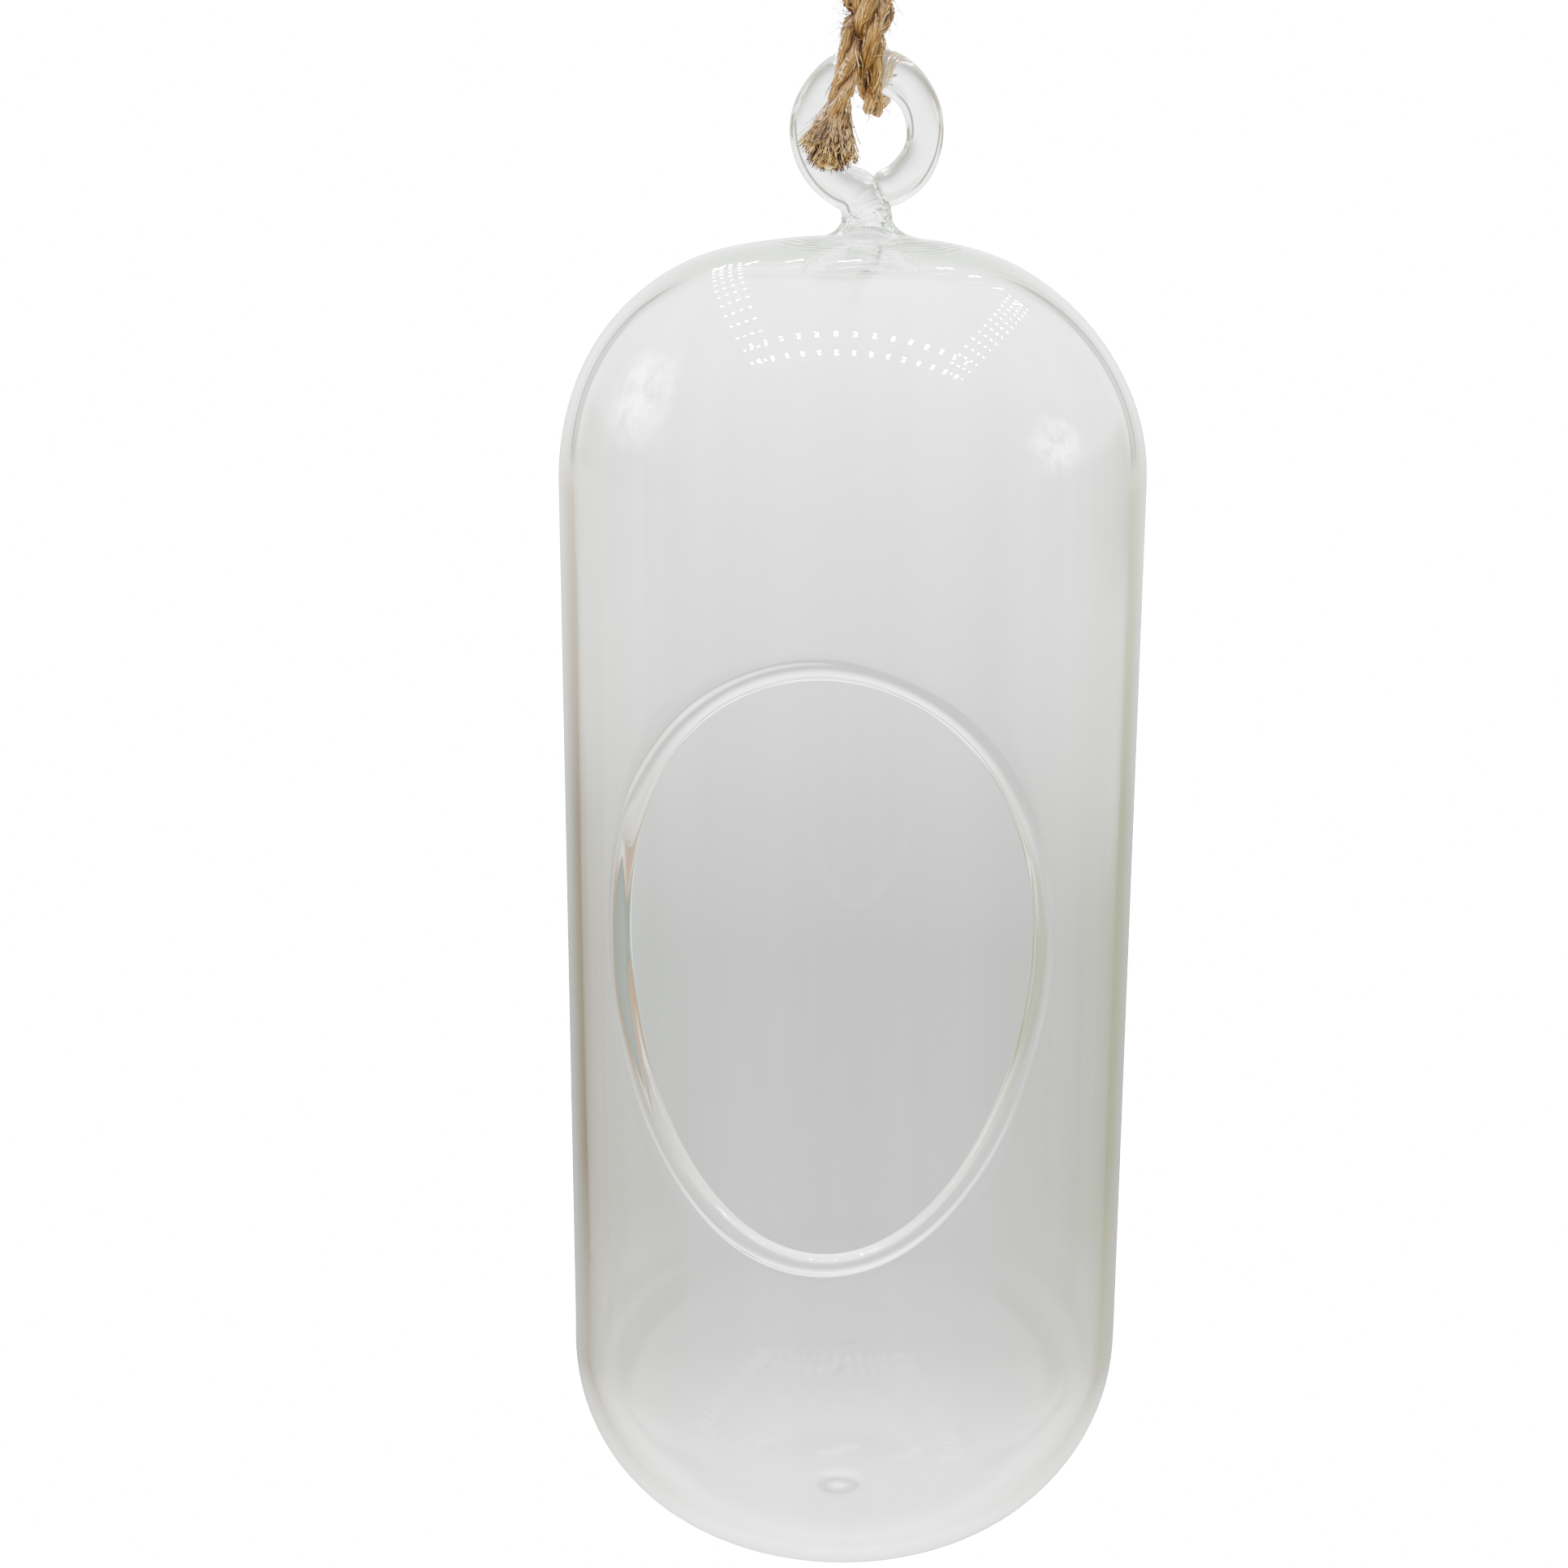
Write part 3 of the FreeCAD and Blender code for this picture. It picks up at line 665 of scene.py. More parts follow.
# under the neck, where the inside rises, its circles lie closer together
inner_arc = CROWN_ARC - WALL
arc_foot = BODY_LENGTH - CROWN_ARC
inner_walk = [(r, z) for r, z in inner_walk if z < SHOULDER_Z or r > UNDER_NECK + 0.2]
inner_walk += [(r, arc_foot + math.sqrt(inner_arc**2 - r**2)) for r in np.linspace(UNDER_NECK, 0.25, 28)]
inner_rows = []
for inner_r, inner_z in inner_walk:
    if inner_z < CORNER_Z and inner_r < SEAL_RADIUS:
        inner_z += SEAL_RISE * math.cos(inner_r / SEAL_RADIUS * quarter) ** 2
    row = np.stack([inner_r * round_x, inner_r * round_y, np.full(COLUMNS, inner_z)], axis=1)
    # the neck was pulled up from the hot crown, so the inside follows it up a little
    if inner_z > SHOULDER_Z:
        from_stem = np.hypot(row[:, 0] - STEM_X, row[:, 1] - STEM_Y)
        row[:, 2] += NECK_HOLLOW * np.exp(-((from_stem / HOLLOW_RADIUS) ** 2))
    inner_rows.append(row)


def in_window(row, column):
    """Whether a face of the net lies in the patch that the web fills."""
    centred = (column + COLUMNS // 2) % COLUMNS - COLUMNS // 2
    return first_window_row <= row + 1 < last_window_row and -PATCH_COLUMNS <= centred < PATCH_COLUMNS


def skin(rows, offset, flip, start_tip, end_tip):
    """Points and faces of a net of circles with a point at each end, without the faces that the window takes."""
    points = np.concatenate([*rows[1:], [start_tip, end_tip]])
    faces = net_faces(len(rows) - 1, COLUMNS, in_window)
    return points, [tuple(v + offset for v in (f[::-1] if flip else f)) for f in faces]


base_tip = (0.0, 0.0, 0.0)
outer_points, outer_faces = skin(outer_rows, 0, False, base_tip, rod_tip)
inner_base = (0.0, 0.0, WALL + SEAL_RISE)
hollow_at_pole = NECK_HOLLOW * math.exp(-(STEM_X**2 + STEM_Y**2) / HOLLOW_RADIUS**2)
inner_crown = (0.0, 0.0, BODY_LENGTH - WALL + hollow_at_pole)
inner_points, inner_faces = skin(inner_rows, len(outer_points), True, inner_base, inner_crown)
web_rings, web_columns = web.shape[:2]
web_offset = len(outer_points) + len(inner_points)
web_faces = [
    tuple(web_offset + f[v] for v in (0, 3, 2, 1)) for f in net_faces(web_rings, web_columns, capped=False)
]
glass_points = np.concatenate([outer_points, inner_points, web.reshape(-1, 3)])

# blown by hand, the crown leans a little to the left and is flat at its pole, and the base leans with it
CROWN_LEAN, BASE_LEAN, POLE_FLAT, RING_TALLER = 0.75, 0.65, 0.75, 0.07
x, y, z = glass_points.T
from_stem = np.hypot(x - STEM_X, y - STEM_Y)
lean_left = CROWN_LEAN * ease(z, 160, 185) * ease(from_stem, 7, 20) + BASE_LEAN * (1 - ease(z, 6, 34))
flat_pole = POLE_FLAT * (1 - ease(np.hypot(x, y), 4, 24)) * ease(z, 180, 186)
flat_pole *= 1 - ease(z, BODY_LENGTH - 0.2, NECK_Z)
# and the ring is a little taller than it is wide
taller = RING_TALLER * np.clip(z - ring_z, 0, None)
glass_points = np.stack([x - lean_left, y, z - flat_pole + taller], axis=1) + (AXIS_X, AXIS_Y, BASE_Z)
glass = piece("blown_glass", glass_points, outer_faces + inner_faces + web_faces)
skin_mesh = bmesh.new()
skin_mesh.from_mesh(glass.data)
bmesh.ops.remove_doubles(skin_mesh, verts=skin_mesh.verts, dist=0.02 * MM)
bmesh.ops.recalc_face_normals(skin_mesh, faces=skin_mesh.faces)
open_edges = sum(not e.is_manifold for e in skin_mesh.edges)
skin_volume = skin_mesh.calc_volume(signed=True) / MM**3
skin_mesh.to_mesh(glass.data)
skin_mesh.free()
print("glass:", len(glass.data.polygons), "faces, open edges", open_edges, "volume", round(skin_volume), "mm3")

# %% [markdown]
# ## Glass
# Borosilicate glass, blown and fire-polished: perfectly smooth, refracting a little less than window glass, and
# clear but for a breath of green where light runs a long way inside it, as in the lip. The green is put in the
# volume, so that it grows with the path through the glass and the thin wall stays clear.

# %% Glass material
glass_material = bpy.data.materials.new("clear_borosilicate_glass")
tree = empty_tree(glass_material)
polished = add(
    tree,
    "ShaderNodeBsdfPrincipled",
    Base_Color=linear("#FFFFFF"),
    Roughness=0.0,
    IOR=1.47,
    Transmission_Weight=1.0,
)
clear = add(tree, "ShaderNodeVolumeAbsorption", Color=linear("#B9E8C4"), Density=14.0)
# light that the wall traps runs round in it further than a render follows: a faint glow stands for it
trapped = add(tree, "ShaderNodeEmission", Color=linear("#E6F2E2"), Strength=32.0)
inside = add(tree, "ShaderNodeAddShader", _0=clear, _1=trapped)
add(tree, "ShaderNodeOutputMaterial", Surface=polished, Volume=inside)
glass.data.materials.append(glass_material)
print("glass bends light by", polished.inputs["IOR"].default_value)

# %% [markdown]
# ## Jute
# Jute is a bast fibre, twisted into yarn and laid into rope: straw-coloured with darker and redder streaks, dull,
# with a slight sheen along the fibres. The streaks follow the strand, so the pattern is drawn on the rope's own UV
# map, stretched along it and slanted by the twist of the yarn. Single fibres are about 0.06 mm thick, too fine to
# show here, so the streaks are drawn as bundles of 0.2 mm.

# %% Jute material
jute_material = bpy.data.materials.new("twisted_natural_jute")
tree = empty_tree(jute_material)
multiply = {"data_type": "RGBA", "blend_type": "MULTIPLY"}


def painted_groove_shade(tree, colour):
    """The colour with painted shade: darker in the grooves between strands and where stretches press together."""
    how_lit = add(tree, "ShaderNodeAttribute", {"attribute_name": "open"})
    ramp = add(tree, "ShaderNodeValToRGB", Fac=how_lit.outputs["Fac"])
    # the ramp's dark end is the colour of the painted shade; its white end leaves the colour as it is
    groove = set_stops(ramp, [(0.0, "#6E4E2C"), (0.8, "#FFFFFF")])
    return add(tree, "ShaderNodeMix", multiply, _0=1.0, _6=colour, _7=groove).outputs[2]


lay_map = add(tree, "ShaderNodeUVMap", {"uv_map": "lay"}).outputs[0]
slanted = add(
    tree, "ShaderNodeMapping", Vector=lay_map, Rotation=(0.0, 0.0, math.radians(18)), Scale=(5.0, 0.5, 1.0)
)
streaks = add(tree, "ShaderNodeTexNoise", Vector=slanted, Scale=1.0, Detail=5.0, Roughness=0.65)
fine = add(
    tree, "ShaderNodeMapping", Vector=lay_map, Rotation=(0.0, 0.0, math.radians(14)), Scale=(14.0, 1.0, 1.0)
)
fine_streaks = add(tree, "ShaderNodeTexNoise", Vector=fine, Scale=1.0, Detail=3.0, Roughness=0.6)
patches = add(tree, "ShaderNodeTexNoise", Vector=lay_map, Scale=0.35, Detail=2.0)
straw = set_stops(
    add(tree, "ShaderNodeValToRGB", Fac=streaks),
    [(0.32, "#1E1204"), (0.48, "#6C5020"), (0.68, "#C09B50")],
)
tints = set_stops(add(tree, "ShaderNodeValToRGB", Fac=patches), [(0.35, "#CFAA6A"), (0.65, "#FFF4D0")])
reddish = add(tree, "ShaderNodeMix", multiply, _0=0.55, _6=straw, _7=tints)
relief = add(tree, "ShaderNodeBump", Strength=0.9, Distance=0.25 * MM, Height=streaks)
relief_fine = add(
    tree,
    "ShaderNodeBump",
    Strength=0.8,
    Distance=0.1 * MM,
    Height=fine_streaks,
    Normal=relief,
)
# the rope's colour carries painted shade, darker in its grooves and where stretches press together
rope_surface = add(
    tree,
    "ShaderNodeBsdfPrincipled",
    Base_Color=painted_groove_shade(tree, reddish.outputs[2]),
    Roughness=0.82,
    Specular_IOR_Level=0.15,
    Sheen_Weight=0.04,
    Sheen_Roughness=0.5,
    Normal=relief_fine,
)
add(tree, "ShaderNodeOutputMaterial", Surface=rope_surface)
rope.data.materials.append(jute_material)
print("jute:", len(tree.nodes), "nodes")

# %% [markdown]
# ## The frayed end
# The tail was cut with scissors and left: its three strands opened into brushes of fibres. Each brush is a short
# core that carries its strand on, one of them curling off to the left, and a great many thin fibres that lie
# along it.

# %% Brush cores
BRUSHES = [
    [(-4.5, -9.2, -92.6), (-5.6, -10.4, -94.9), (-6.6, -11.5, -96.9), (-7.3, -12.1, -98.6)],
    [(-4.2, -9.8, -92.6), (-4.7, -11.2, -95.5), (-5.2, -12.3, -98.2), (-5.4, -12.9, -100.7)],
    [(-3.3, -9.2, -92.6), (-3.5, -10.6, -95.5), (-3.6, -11.5, -98.2), (-4.0, -12.0, -99.9)],
]
BRUSH_AROUND = 14
# painted shade on the brushes: darkest where one touches its neighbours, as little light reaches between them
TOUCHING, APART = 1.15, 1.95  # how far a brush is from its neighbours where it is darkest and where it is open
LAST_BIT = 0.5 * MM  # how far the fibres may reach past the core

lines = [resample(smooth_line(corners), STEP) for corners in BRUSHES]
tubes, left = [], []
for centres, places in lines:
    share = places / places[-1]
    tubes.append((centres, 0.8 + 0.5 * np.clip(share * 1.6, 0, 1) - 0.15 * share**6))
    left.append(for_each_point(places[-1] - places, BRUSH_AROUND, places[-1], 0.0) * MM + LAST_BIT)
shapes, faces, headings = join_tubes(tubes, BRUSH_AROUND)
# painted shade: how open each brush lies, darker near the other brushes
opens = []
for number, shape in enumerate(shapes):
    others = np.concatenate([line for i, (line, _) in enumerate(lines) if i != number])
    near = np.linalg.norm(shape[:, None, :] - others[None, :, :], axis=2).min(axis=1)
    opens.append(share_of(near, TOUCHING, APART))
brush_core = piece("frayed_tail", np.concatenate(shapes), faces)
mark_points(brush_core, along=headings, open=np.concatenate(opens), left=np.concatenate(left))
print("brush cores:", len(brush_core.data.polygons), "faces")

# %% [markdown]
# ## Loose fibres
# Jute is hairy: fibre ends stand off the strands everywhere. A hair that repeats hundreds of times over a surface
# is work for Geometry Nodes. The tree scatters points, turns a bent hair at each of them to lie mostly along the
# strand, and joins them all. The same tree makes the sparse fuzz of the rope and the dense brushes of its end.

# %% Material of the loose fibres
loose_fibre = bpy.data.materials.new("loose_jute_fibre")
tree = empty_tree(loose_fibre)
# single fibres are paler than the rope, whose painted shade darkens its gaps; they vary from one to the next, and
# take the same painted shade in grooves and where they lie close together
where = add(tree, "ShaderNodeTexCoord")
change = add(tree, "ShaderNodeTexNoise", Vector=where.outputs["Object"], Scale=1400.0, Detail=2.0)
tone = set_stops(add(tree, "ShaderNodeValToRGB", Fac=change), [(0.36, "#45290A"), (0.64, "#D9B66C")])
fibre_surface = add(
    tree,
    "ShaderNodeBsdfPrincipled",
    Base_Color=painted_groove_shade(tree, tone),
    Roughness=0.7,
    Specular_IOR_Level=0.25,
    Sheen_Weight=0.03,
)
add(tree, "ShaderNodeOutputMaterial", Surface=fibre_surface)
print("loose fibre:", len(tree.nodes), "nodes")

# %% [markdown]
# A Geometry Nodes group is a recipe with inputs, which each use of it fills in. Its inputs here say how many
# fibres there are, how long and thick they are and how wildly they lie.

# %% Geometry Nodes tree of loose fibres
fibres = bpy.data.node_groups.new("loose_fibres", "GeometryNodeTree")
fibres.interface.new_socket("Geometry", in_out="OUTPUT", socket_type="NodeSocketGeometry")
fibres.interface.new_socket("Geometry", in_out="INPUT", socket_type="NodeSocketGeometry")
sizes = {}
for name, kind, start in (
    ("Fibres per square metre", "NodeSocketFloat", 1.0e6),
    ("Fibre length", "NodeSocketFloat", 0.003),
    ("Fibre radius", "NodeSocketFloat", 0.00004),
    ("Stand off", "NodeSocketFloat", 0.5),
    ("Scatter", "NodeSocketFloat", 0.5),
    ("Seed", "NodeSocketInt", 3),
):
    socket = fibres.interface.new_socket(name, in_out="INPUT", socket_type=kind)
    socket.default_value = start
    sizes[name] = socket.identifier
given = add(fibres, "NodeGroupInput").outputs
scaled = {"operation": "SCALE"}
vectors = {"data_type": "FLOAT_VECTOR"}
numbers = {"data_type": "FLOAT"}
scatter = add(
    fibres,
    "GeometryNodeDistributePointsOnFaces",
    Mesh=given["Geometry"],
    Density=given["Fibres per square metre"],
    Seed=given["Seed"],
)
along = add(fibres, "GeometryNodeInputNamedAttribute", vectors, Name="along")
away = add(fibres, "ShaderNodeVectorMath", scaled, _0=scatter.outputs["Normal"], Scale=given["Stand off"])
anyhow = add(
    fibres, "FunctionNodeRandomValue", vectors, _0=(-1.0, -1.0, -1.0), _1=(1.0, 1.0, 1.0), Seed=given["Seed"]
)
stray = add(fibres, "ShaderNodeVectorMath", scaled, _0=anyhow, Scale=given["Scatter"])
lean_out = add(fibres, "ShaderNodeVectorMath", {"operation": "ADD"}, _0=along, _1=away)
lean_any = add(fibres, "ShaderNodeVectorMath", {"operation": "ADD"}, _0=lean_out, _1=stray)
aim = add(fibres, "FunctionNodeAlignRotationToVector", {"axis": "Z"}, Vector=lean_any)
half_way = add(fibres, "ShaderNodeVectorMath", scaled, _0=(0.06, 0.0, 0.55), Scale=given["Fibre length"])
far_end = add(fibres, "ShaderNodeVectorMath", scaled, _0=(0.26, 0.05, 0.95), Scale=given["Fibre length"])
bent = add(
    fibres,
    "GeometryNodeCurveQuadraticBezier",
    Resolution=4,
    Start=(0.0, 0.0, 0.0),
    Middle=half_way,
    End=far_end,
)
round_fibre = add(fibres, "GeometryNodeCurvePrimitiveCircle", Resolution=3, Radius=given["Fibre radius"])
hair = add(fibres, "GeometryNodeCurveToMesh", _0=bent, Profile_Curve=round_fibre, Fill_Caps=True)
size_of_each = add(fibres, "FunctionNodeRandomValue", numbers, _2=0.4, _3=1.2, Seed=11)
# the rope was cut through, so no fibre reaches far past the end
to_end = add(fibres, "GeometryNodeInputNamedAttribute", numbers, Name="left")
room_left = add(fibres, "ShaderNodeMath", {"operation": "DIVIDE"}, _0=to_end, _1=given["Fibre length"])
cut = add(fibres, "ShaderNodeMath", {"operation": "MINIMUM"}, _0=size_of_each.outputs[1], _1=room_left)
planted = add(
    fibres,
    "GeometryNodeInstanceOnPoints",
    Points=scatter.outputs["Points"],
    Instance=hair,
    Rotation=aim,
    Scale=cut,
)
any_turn = add(fibres, "FunctionNodeRandomValue", vectors, _0=(0.0, 0.0, 0.0), _1=(0.0, 0.0, 6.28), Seed=5)
turned = add(fibres, "GeometryNodeRotateInstances", Instances=planted, Rotation=any_turn)
real = add(fibres, "GeometryNodeRealizeInstances", Geometry=turned)
painted = add(fibres, "GeometryNodeSetMaterial", Geometry=real, Material=loose_fibre)
add(fibres, "NodeGroupOutput", Geometry=painted)
print("fibre recipe:", len(fibres.nodes), "nodes")

# %% [markdown]
# The recipe is used three times: for fibres that lie along the rope, for sparse fuzz that stands off it, and for
# the brushes of its end. What it grows is kept as a plain mesh.


# %% Grow the fibres
def grow_fibres(name, on, **values):
    """The fibres that the tree grows on a piece, as a plain mesh of their own."""
    modifier = on.modifiers.new("fibres", "NODES")
    modifier.node_group = fibres
    for key, value in values.items():
        modifier[sizes[key.replace("_", " ")]] = value
    bpy.context.view_layer.update()
    grown = bpy.data.meshes.new_from_object(on.evaluated_get(bpy.context.evaluated_depsgraph_get()))
    on.modifiers.remove(modifier)
    print(name, len(grown.polygons), "faces")
    return placed(name, grown)


lying = grow_fibres(
    "rope_fibres",
    rope,
    Fibres_per_square_metre=9.0e5,
    Fibre_length=0.0030,
    Fibre_radius=0.00006,
    Stand_off=0.06,
    Scatter=0.16,
    Seed=2,
)
fuzz = grow_fibres(
    "rope_fuzz",
    rope,
    Fibres_per_square_metre=1.5e5,
    Fibre_length=0.0024,
    Fibre_radius=0.000035,
    Stand_off=0.45,
    Scatter=0.75,
    Seed=3,
)
brush = grow_fibres(
    "frayed_fibres",
    brush_core,
    Fibres_per_square_metre=9.0e6,
    Fibre_length=0.0068,
    Fibre_radius=0.00008,
    Stand_off=0.035,
    Scatter=0.05,
    Seed=8,
)
brush_core.data.materials.append(loose_fibre)

# %% [markdown]
# ## The room round the vase
# Clear glass shows little but its surroundings. The page behind the vase is white, and only the camera sees it.
# What the glass bends and mirrors is a pale room: a wall behind it, darker and warmer sides, and a dim front. Each
# of these is a colour ramp over the height that a ray looks at, from straight down, 0, to straight up, 1.

# %% Colours of the room
world = bpy.data.worlds.new("studio")
bpy.context.scene.world = world
tree = empty_tree(world)
way = add(tree, "ShaderNodeTexCoord")
split = add(tree, "ShaderNodeSeparateXYZ", Vector=way.outputs["Generated"])
rise = add(tree, "ShaderNodeMapRange", Value=split.outputs[2], From_Min=-1.0, From_Max=1.0).outputs[0]

# fmt: off
ROOM_COLOURS = {
    # a pale wall behind the vase, darker towards its foot
    "behind": [
        (0.0, "#E6E7E5"), (0.2, "#BFC0BE"), (0.24, "#A2A3A1"), (0.265, "#777876"), (0.335, "#747675"),
        (0.36, "#868887"), (0.38, "#9A9C9B"), (0.405, "#B0B2B1"), (0.43, "#C0C2C1"), (0.46, "#D9DBDA"),
        (0.54, "#F0F2F1"), (0.6, "#C3C9BE"), (0.68, "#AEB7A7"), (0.76, "#F4F6F4"), (1.0, "#FFFFFF"),
    ],
    # the sides are warm and darker below eye level, bright above it
    "beside, left": [
        (0.0, "#C9C8C5"), (0.2, "#918A7F"), (0.3, "#3E3220"), (0.36, "#483B28"), (0.42, "#877B6B"),
        (0.47, "#BDB8AE"), (0.5, "#E6E6E2"), (1.0, "#FFFFFF"),
    ],
    "beside, right": [
        (0.0, "#C9C8C5"), (0.2, "#99948A"), (0.27, "#6A6756"), (0.3, "#55543F"), (0.36, "#5C5C46"),
        (0.42, "#8A8872"), (0.46, "#B3B2A3"), (0.5, "#E6E6E2"), (1.0, "#FFFFFF"),
    ],
    # far out there is brown wood on the left and there are green leaves on the right
    "far left": [
        (0.0, "#D6D5D1"), (0.26, "#99948A"), (0.29, "#5E442E"), (0.36, "#6A4E36"), (0.38, "#A5A096"),
        (0.46, "#A5A096"), (0.48, "#6E5238"), (0.55, "#5A4028"), (0.6, "#DAD9D5"), (1.0, "#FFFFFF"),
    ],
    "far right": [
        (0.0, "#D6D7D3"), (0.26, "#99998C"), (0.29, "#4F5636"), (0.345, "#596040"), (0.365, "#A2A498"),
        (0.395, "#A9AB9F"), (0.41, "#3A4A24"), (0.44, "#54683A"), (0.47, "#3A4A24"), (0.53, "#3A4A24"),
        (0.56, "#DCDEDA"), (1.0, "#FFFFFF"),
    ],
    # the front, where the photographer stands, is dim
    "front": [(0.0, "#A8A8A6"), (0.4, "#7E7F7E"), (0.55, "#B6B7B6"), (0.7, "#D8D9D8"), (1.0, "#FFFFFF")],
}
# fmt: on
ramps = {}
for name, stops in ROOM_COLOURS.items():
    ramps[name] = set_stops(add(tree, "ShaderNodeValToRGB", Fac=rise), stops)
print("room:", "; ".join(ramps))

# %% [markdown]
# The ramps are mixed by where a ray goes: sideways, far out, or forwards. A dark slanting edge on both sides draws
# the fine line round the inside of the shoulders. Noise that is drawn out upwards gives faint upright bands, as
# folds of paper do.

# %% Which part of the room a ray meets
ROOM_STRENGTH, PAGE_STRENGTH = 5.0, 24.0
ROPE_SHARE = 0.42
soft = {"interpolation_type": "SMOOTHSTEP"}
colours = {"data_type": "RGBA"}
times = {"operation": "MULTIPLY"}
across = split.outputs[0]
reach = add(tree, "ShaderNodeMath", {"operation": "ABSOLUTE"}, _0=across).outputs[0]
rightness = add(tree, "ShaderNodeMapRange", soft, Value=across, From_Min=-0.1, From_Max=0.1)
sideways = add(tree, "ShaderNodeMapRange", soft, Value=reach, From_Min=0.14, From_Max=0.58)
far_out = add(tree, "ShaderNodeMapRange", soft, Value=reach, From_Min=0.6, From_Max=0.74)
forwards = add(tree, "ShaderNodeMapRange", soft, Value=split.outputs[1], From_Min=0.0, From_Max=-0.5)
near_side = add(tree, "ShaderNodeMix", colours, _0=rightness, _6=ramps["beside, left"], _7=ramps["beside, right"])
far_side = add(tree, "ShaderNodeMix", colours, _0=rightness, _6=ramps["far left"], _7=ramps["far right"])
wall_and_side = add(tree, "ShaderNodeMix", colours, _0=sideways, _6=ramps["behind"], _7=near_side.outputs[2])
all_sides = add(
    tree, "ShaderNodeMix", colours, _0=far_out, _6=wall_and_side.outputs[2], _7=far_side.outputs[2]
)

slant = add(tree, "ShaderNodeMath", {"operation": "ADD"}, _0=reach, _1=rise).outputs[0]
edge_in = add(tree, "ShaderNodeMapRange", soft, Value=slant, From_Min=0.95, From_Max=0.985)
edge_out = add(tree, "ShaderNodeMapRange", soft, Value=slant, From_Min=1.13, From_Max=1.08)
edge_foot = add(tree, "ShaderNodeMapRange", soft, Value=rise, From_Min=0.43, From_Max=0.47)
edge_top = add(tree, "ShaderNodeMapRange", soft, Value=rise, From_Min=0.74, From_Max=0.68)
edge_width = add(tree, "ShaderNodeMath", times, _0=edge_in, _1=edge_out)
edge_height = add(tree, "ShaderNodeMath", times, _0=edge_foot, _1=edge_top)
dark_edge = add(tree, "ShaderNodeMath", times, _0=edge_width, _1=edge_height)
with_edge = add(tree, "ShaderNodeMix", colours, _0=dark_edge, _6=all_sides.outputs[2], _7=linear("#5C5D59"))
room = add(tree, "ShaderNodeMix", colours, _0=forwards, _6=with_edge.outputs[2], _7=ramps["front"])

across_only = add(tree, "ShaderNodeMapping", Vector=way.outputs["Generated"], Scale=(22.0, 0.0, 0.8))
folded = add(tree, "ShaderNodeTexNoise", Vector=across_only, Scale=1.0, Detail=3.0, Roughness=0.6)
band = add(tree, "ShaderNodeMapRange", Value=folded, From_Min=0.3, From_Max=0.7, To_Min=0.91, To_Max=1.09)
room_light = add(tree, "ShaderNodeMath", times, _0=band, _1=ROOM_STRENGTH)
# the rope is lit less from all round, and more by the soft panels
seen = add(tree, "ShaderNodeLightPath").outputs
for_rope = add(tree, "ShaderNodeMapRange", Value=seen["Is Diffuse Ray"], To_Min=1.0, To_Max=ROPE_SHARE)
room_power = add(tree, "ShaderNodeMath", times, _0=room_light, _1=for_rope)
around_glass = add(tree, "ShaderNodeBackground", Color=room.outputs[2], Strength=room_power)
page = add(tree, "ShaderNodeBackground", Color=linear("#FFFFFF"), Strength=PAGE_STRENGTH)
both = add(tree, "ShaderNodeMixShader", _0=seen["Is Camera Ray"], _1=around_glass, _2=page)
add(tree, "ShaderNodeOutputWorld", Surface=both)
print("world:", len(tree.nodes), "nodes")

# %% [markdown]
# ## Floor and lamps
# A white floor lies far below. A square frame of small lamps hangs above and in front, and its rows of dots show
# in the crown and, faintly, in the base. A plain shape of the studio is seen only by the kinds of ray that are
# named for it, and it is no part of the vase.


# %% Floor and lamps
def stage_faces(name, corners_mm, colour, strength, rays=("camera",)):
    """Plain faces of the studio, which only the kinds of ray that are named can see."""
    faces = [tuple(range(i, i + 4)) for i in range(0, len(corners_mm), 4)]
    made = piece(name, corners_mm, faces, smooth=False)
    material = bpy.data.materials.new(name)
    nodes = empty_tree(material)
    shine = add(nodes, "ShaderNodeEmission", Color=linear(colour), Strength=strength)
    add(nodes, "ShaderNodeOutputMaterial", Surface=shine)
    made.data.materials.append(material)
    for kind in ("camera", "diffuse", "glossy", "transmission", "volume_scatter", "shadow"):
        setattr(made, "visible_" + kind, kind in rays)
    return made


FLOOR_Z, WIDE = -900.0, 4000.0
floor = [(WIDE * i, WIDE * j, FLOOR_Z) for i, j in ((-1, -1), (1, -1), (1, 1), (-1, 1))]
stage_faces("paper_floor", floor, "#FFFFFF", 30.0)

LAMP_HEIGHT = 600.0
LAMP_CORNERS = np.array([(-410, -225), (505, -280), (640, 820), (-320, 1300)], float)
# on each side of the frame, how far inside it its four rows of lamps lie
LAMP_ROWS = [(-12, 12, 128, 152), (-45, -8, 30, 68), (-12, 12, 52, 76), (-45, -8, 30, 68)]
LAMPS_IN_ROW = (14, 14, 9, 14)


def lamp_faces(size):
    """Corners of the square lamps along the four sides of the frame."""
    corners, half = [], size / 2
    square = [(-half, -half), (-half, half), (half, half), (half, -half)]
    for side in range(4):
        start, end = LAMP_CORNERS[side], LAMP_CORNERS[(side + 1) % 4]
        along = (end - start) / np.linalg.norm(end - start)
        inwards = np.array([-along[1], along[0]])
        for place in np.linspace(0.0, 1.0, LAMPS_IN_ROW[side]):
            for row in LAMP_ROWS[side]:
                x, y = start + (end - start) * place + inwards * row
                corners += [(x + a, y + b, LAMP_HEIGHT) for a, b in square]
    return corners


lamps = stage_faces("lamp_frame", lamp_faces(15.0), "#FFFFFF", 900.0, rays=("glossy",))
# a render cuts down light that comes after many bounces, so for what the base mirrors the lamps are larger
stage_faces("lamp_frame_for_base", lamp_faces(32.0), "#FFFFFF", 4000.0, rays=("transmission",))
print("lamps:", len(lamps.data.polygons))

# %% [markdown]
# ## Windows
# A curtained window on each side leaves a soft bright patch on the shoulders. Its light is broken up by noise and
# fades towards its edges, and where it is dark the room shows through it.


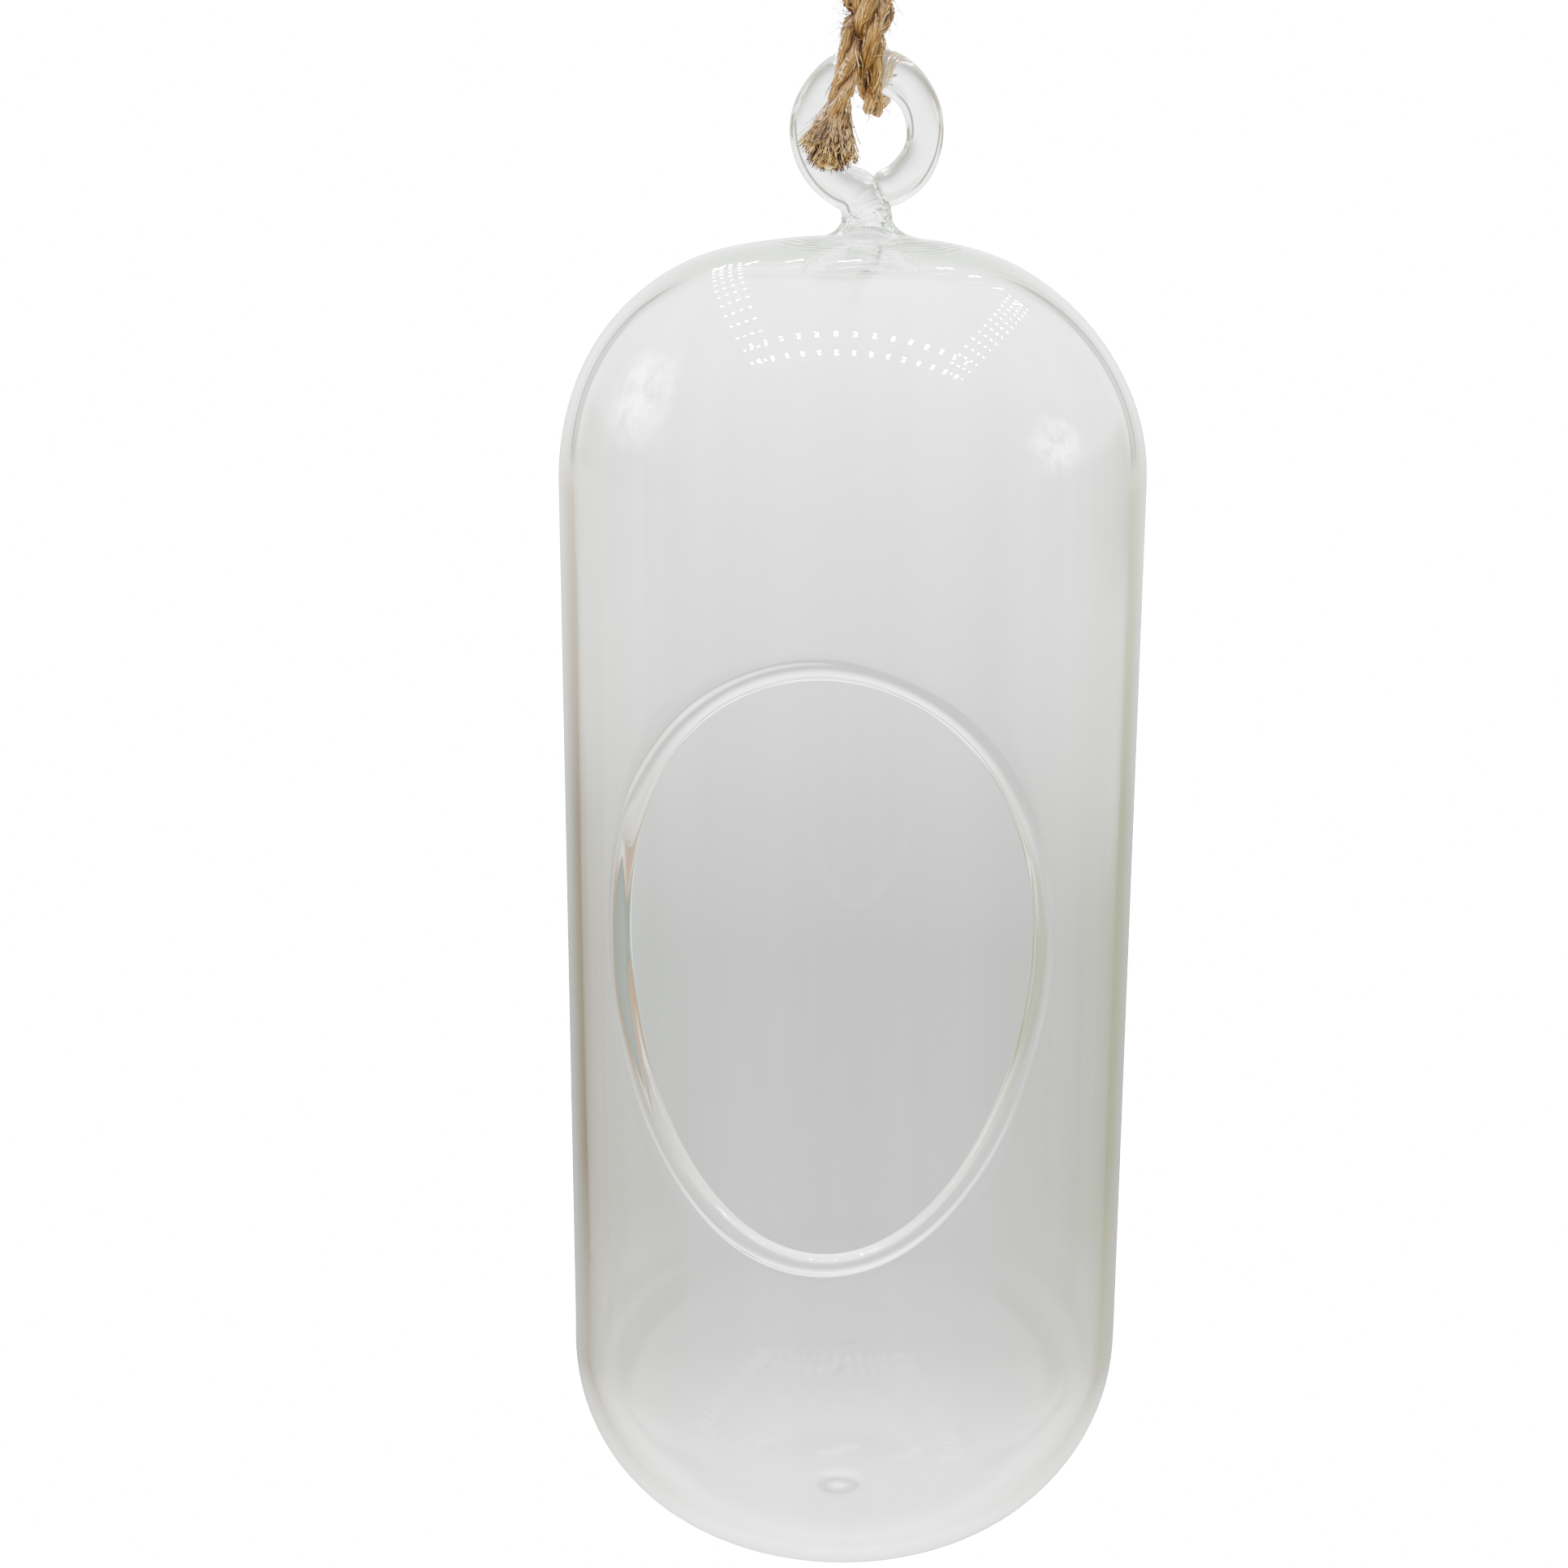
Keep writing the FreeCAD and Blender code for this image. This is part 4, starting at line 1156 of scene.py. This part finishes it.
# %% Windows
def card(azimuth, elevation, width, height, distance=1500.0):
    """Corners of an upright card that faces the vase, at an azimuth from -Y and an elevation, in degrees."""
    a, e = math.radians(azimuth), math.radians(elevation)
    out = np.array([math.sin(a) * math.cos(e), -math.cos(a) * math.cos(e), math.sin(e)])
    across = np.array([math.cos(a), math.sin(a), 0.0])
    up = np.cross(out, across)
    up *= np.sign(up[2])
    middle = np.array([0.0, 0.0, -130.0]) + out * distance
    across *= distance * math.tan(math.radians(width / 2))
    up *= distance * math.tan(math.radians(height / 2))
    return [middle + across * i + up * j for i, j in ((-1, -1), (1, -1), (1, 1), (-1, 1))]


def bright_patch(name, corners, strength):
    """A bright upright patch of light, broken up as a curtain does it."""
    made = stage_faces(name, corners, "#FFFFFF", strength, rays=("glossy",))
    layer = made.data.uv_layers.new(name="pane")
    layer.data.foreach_set("uv", [-1.0, -1.0, 1.0, -1.0, 1.0, 1.0, -1.0, 1.0])
    nodes = made.data.materials[0].node_tree
    pane = add(nodes, "ShaderNodeUVMap", {"uv_map": "pane"}).outputs[0]
    middle_out = add(nodes, "ShaderNodeVectorMath", {"operation": "LENGTH"}, _0=pane)
    fade = add(nodes, "ShaderNodeMapRange", soft, Value=middle_out.outputs["Value"], From_Min=1.0, From_Max=0.25)
    cloud = add(nodes, "ShaderNodeTexNoise", Vector=pane, Scale=2.2, Detail=3.0, Roughness=0.6)
    gaps = add(nodes, "ShaderNodeMapRange", Value=cloud, From_Min=0.38, From_Max=0.62)
    amount = add(nodes, "ShaderNodeMath", times, _0=fade, _1=gaps)
    bright = add(nodes, "ShaderNodeMath", times, _0=amount, _1=strength)
    shine = next(node for node in nodes.nodes if node.type == "EMISSION")
    nodes.links.new(bright.outputs[0], shine.inputs["Strength"])
    see_through = add(nodes, "ShaderNodeBsdfTransparent")
    both = add(nodes, "ShaderNodeAddShader", _0=shine, _1=see_through)
    sink = next(node for node in nodes.nodes if node.type == "OUTPUT_MATERIAL")
    nodes.links.new(both.outputs[0], sink.inputs["Surface"])
    return made


for name, corners in (("window_left", card(-103, 24, 44, 40)), ("window_right", card(86, 15, 34, 28))):
    print(bright_patch(name, corners, 60.0).name)

# %% [markdown]
# ## Soft panels
# Three soft panels light the rope, most of it from the left and from above. The glass doesn't mirror them.


# %% Soft panels
AIM = Vector((0.0, 0.0, -200.0)) * MM


def soft_panel(name, place_mm, size_mm, power):
    """A rectangular light that faces the vase."""
    light = bpy.data.lights.new(name, "AREA")
    light.shape = "RECTANGLE"
    light.size, light.size_y = size_mm[0] * MM, size_mm[1] * MM
    light.energy = power
    made = placed(name, light)
    made.location = Vector(place_mm) * MM
    made.rotation_euler = (AIM - made.location).to_track_quat("-Z", "Y").to_euler()
    made.visible_camera = made.visible_glossy = made.visible_transmission = False
    print(name, power, "W")


soft_panel("panel_left", (-750, -350, 50), (300, 700), 15.0)
soft_panel("panel_right", (750, -350, 50), (300, 700), 3.0)
soft_panel("panel_top", (0, -200, 650), (500, 500), 15.0)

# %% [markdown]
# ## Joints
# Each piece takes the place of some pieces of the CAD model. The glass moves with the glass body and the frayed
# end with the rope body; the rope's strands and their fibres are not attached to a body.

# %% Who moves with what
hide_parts("glass_vessel", "hanging_ring")
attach(glass, "glass")
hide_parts("hanging_loop", "loop_knot", "standing_rope", "ring_knot", "ring_bight", "rope_tail")
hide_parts("frayed_end")
for part in (rope, lying, fuzz):
    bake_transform(part)
for part in (brush_core, brush):
    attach(part, "rope")
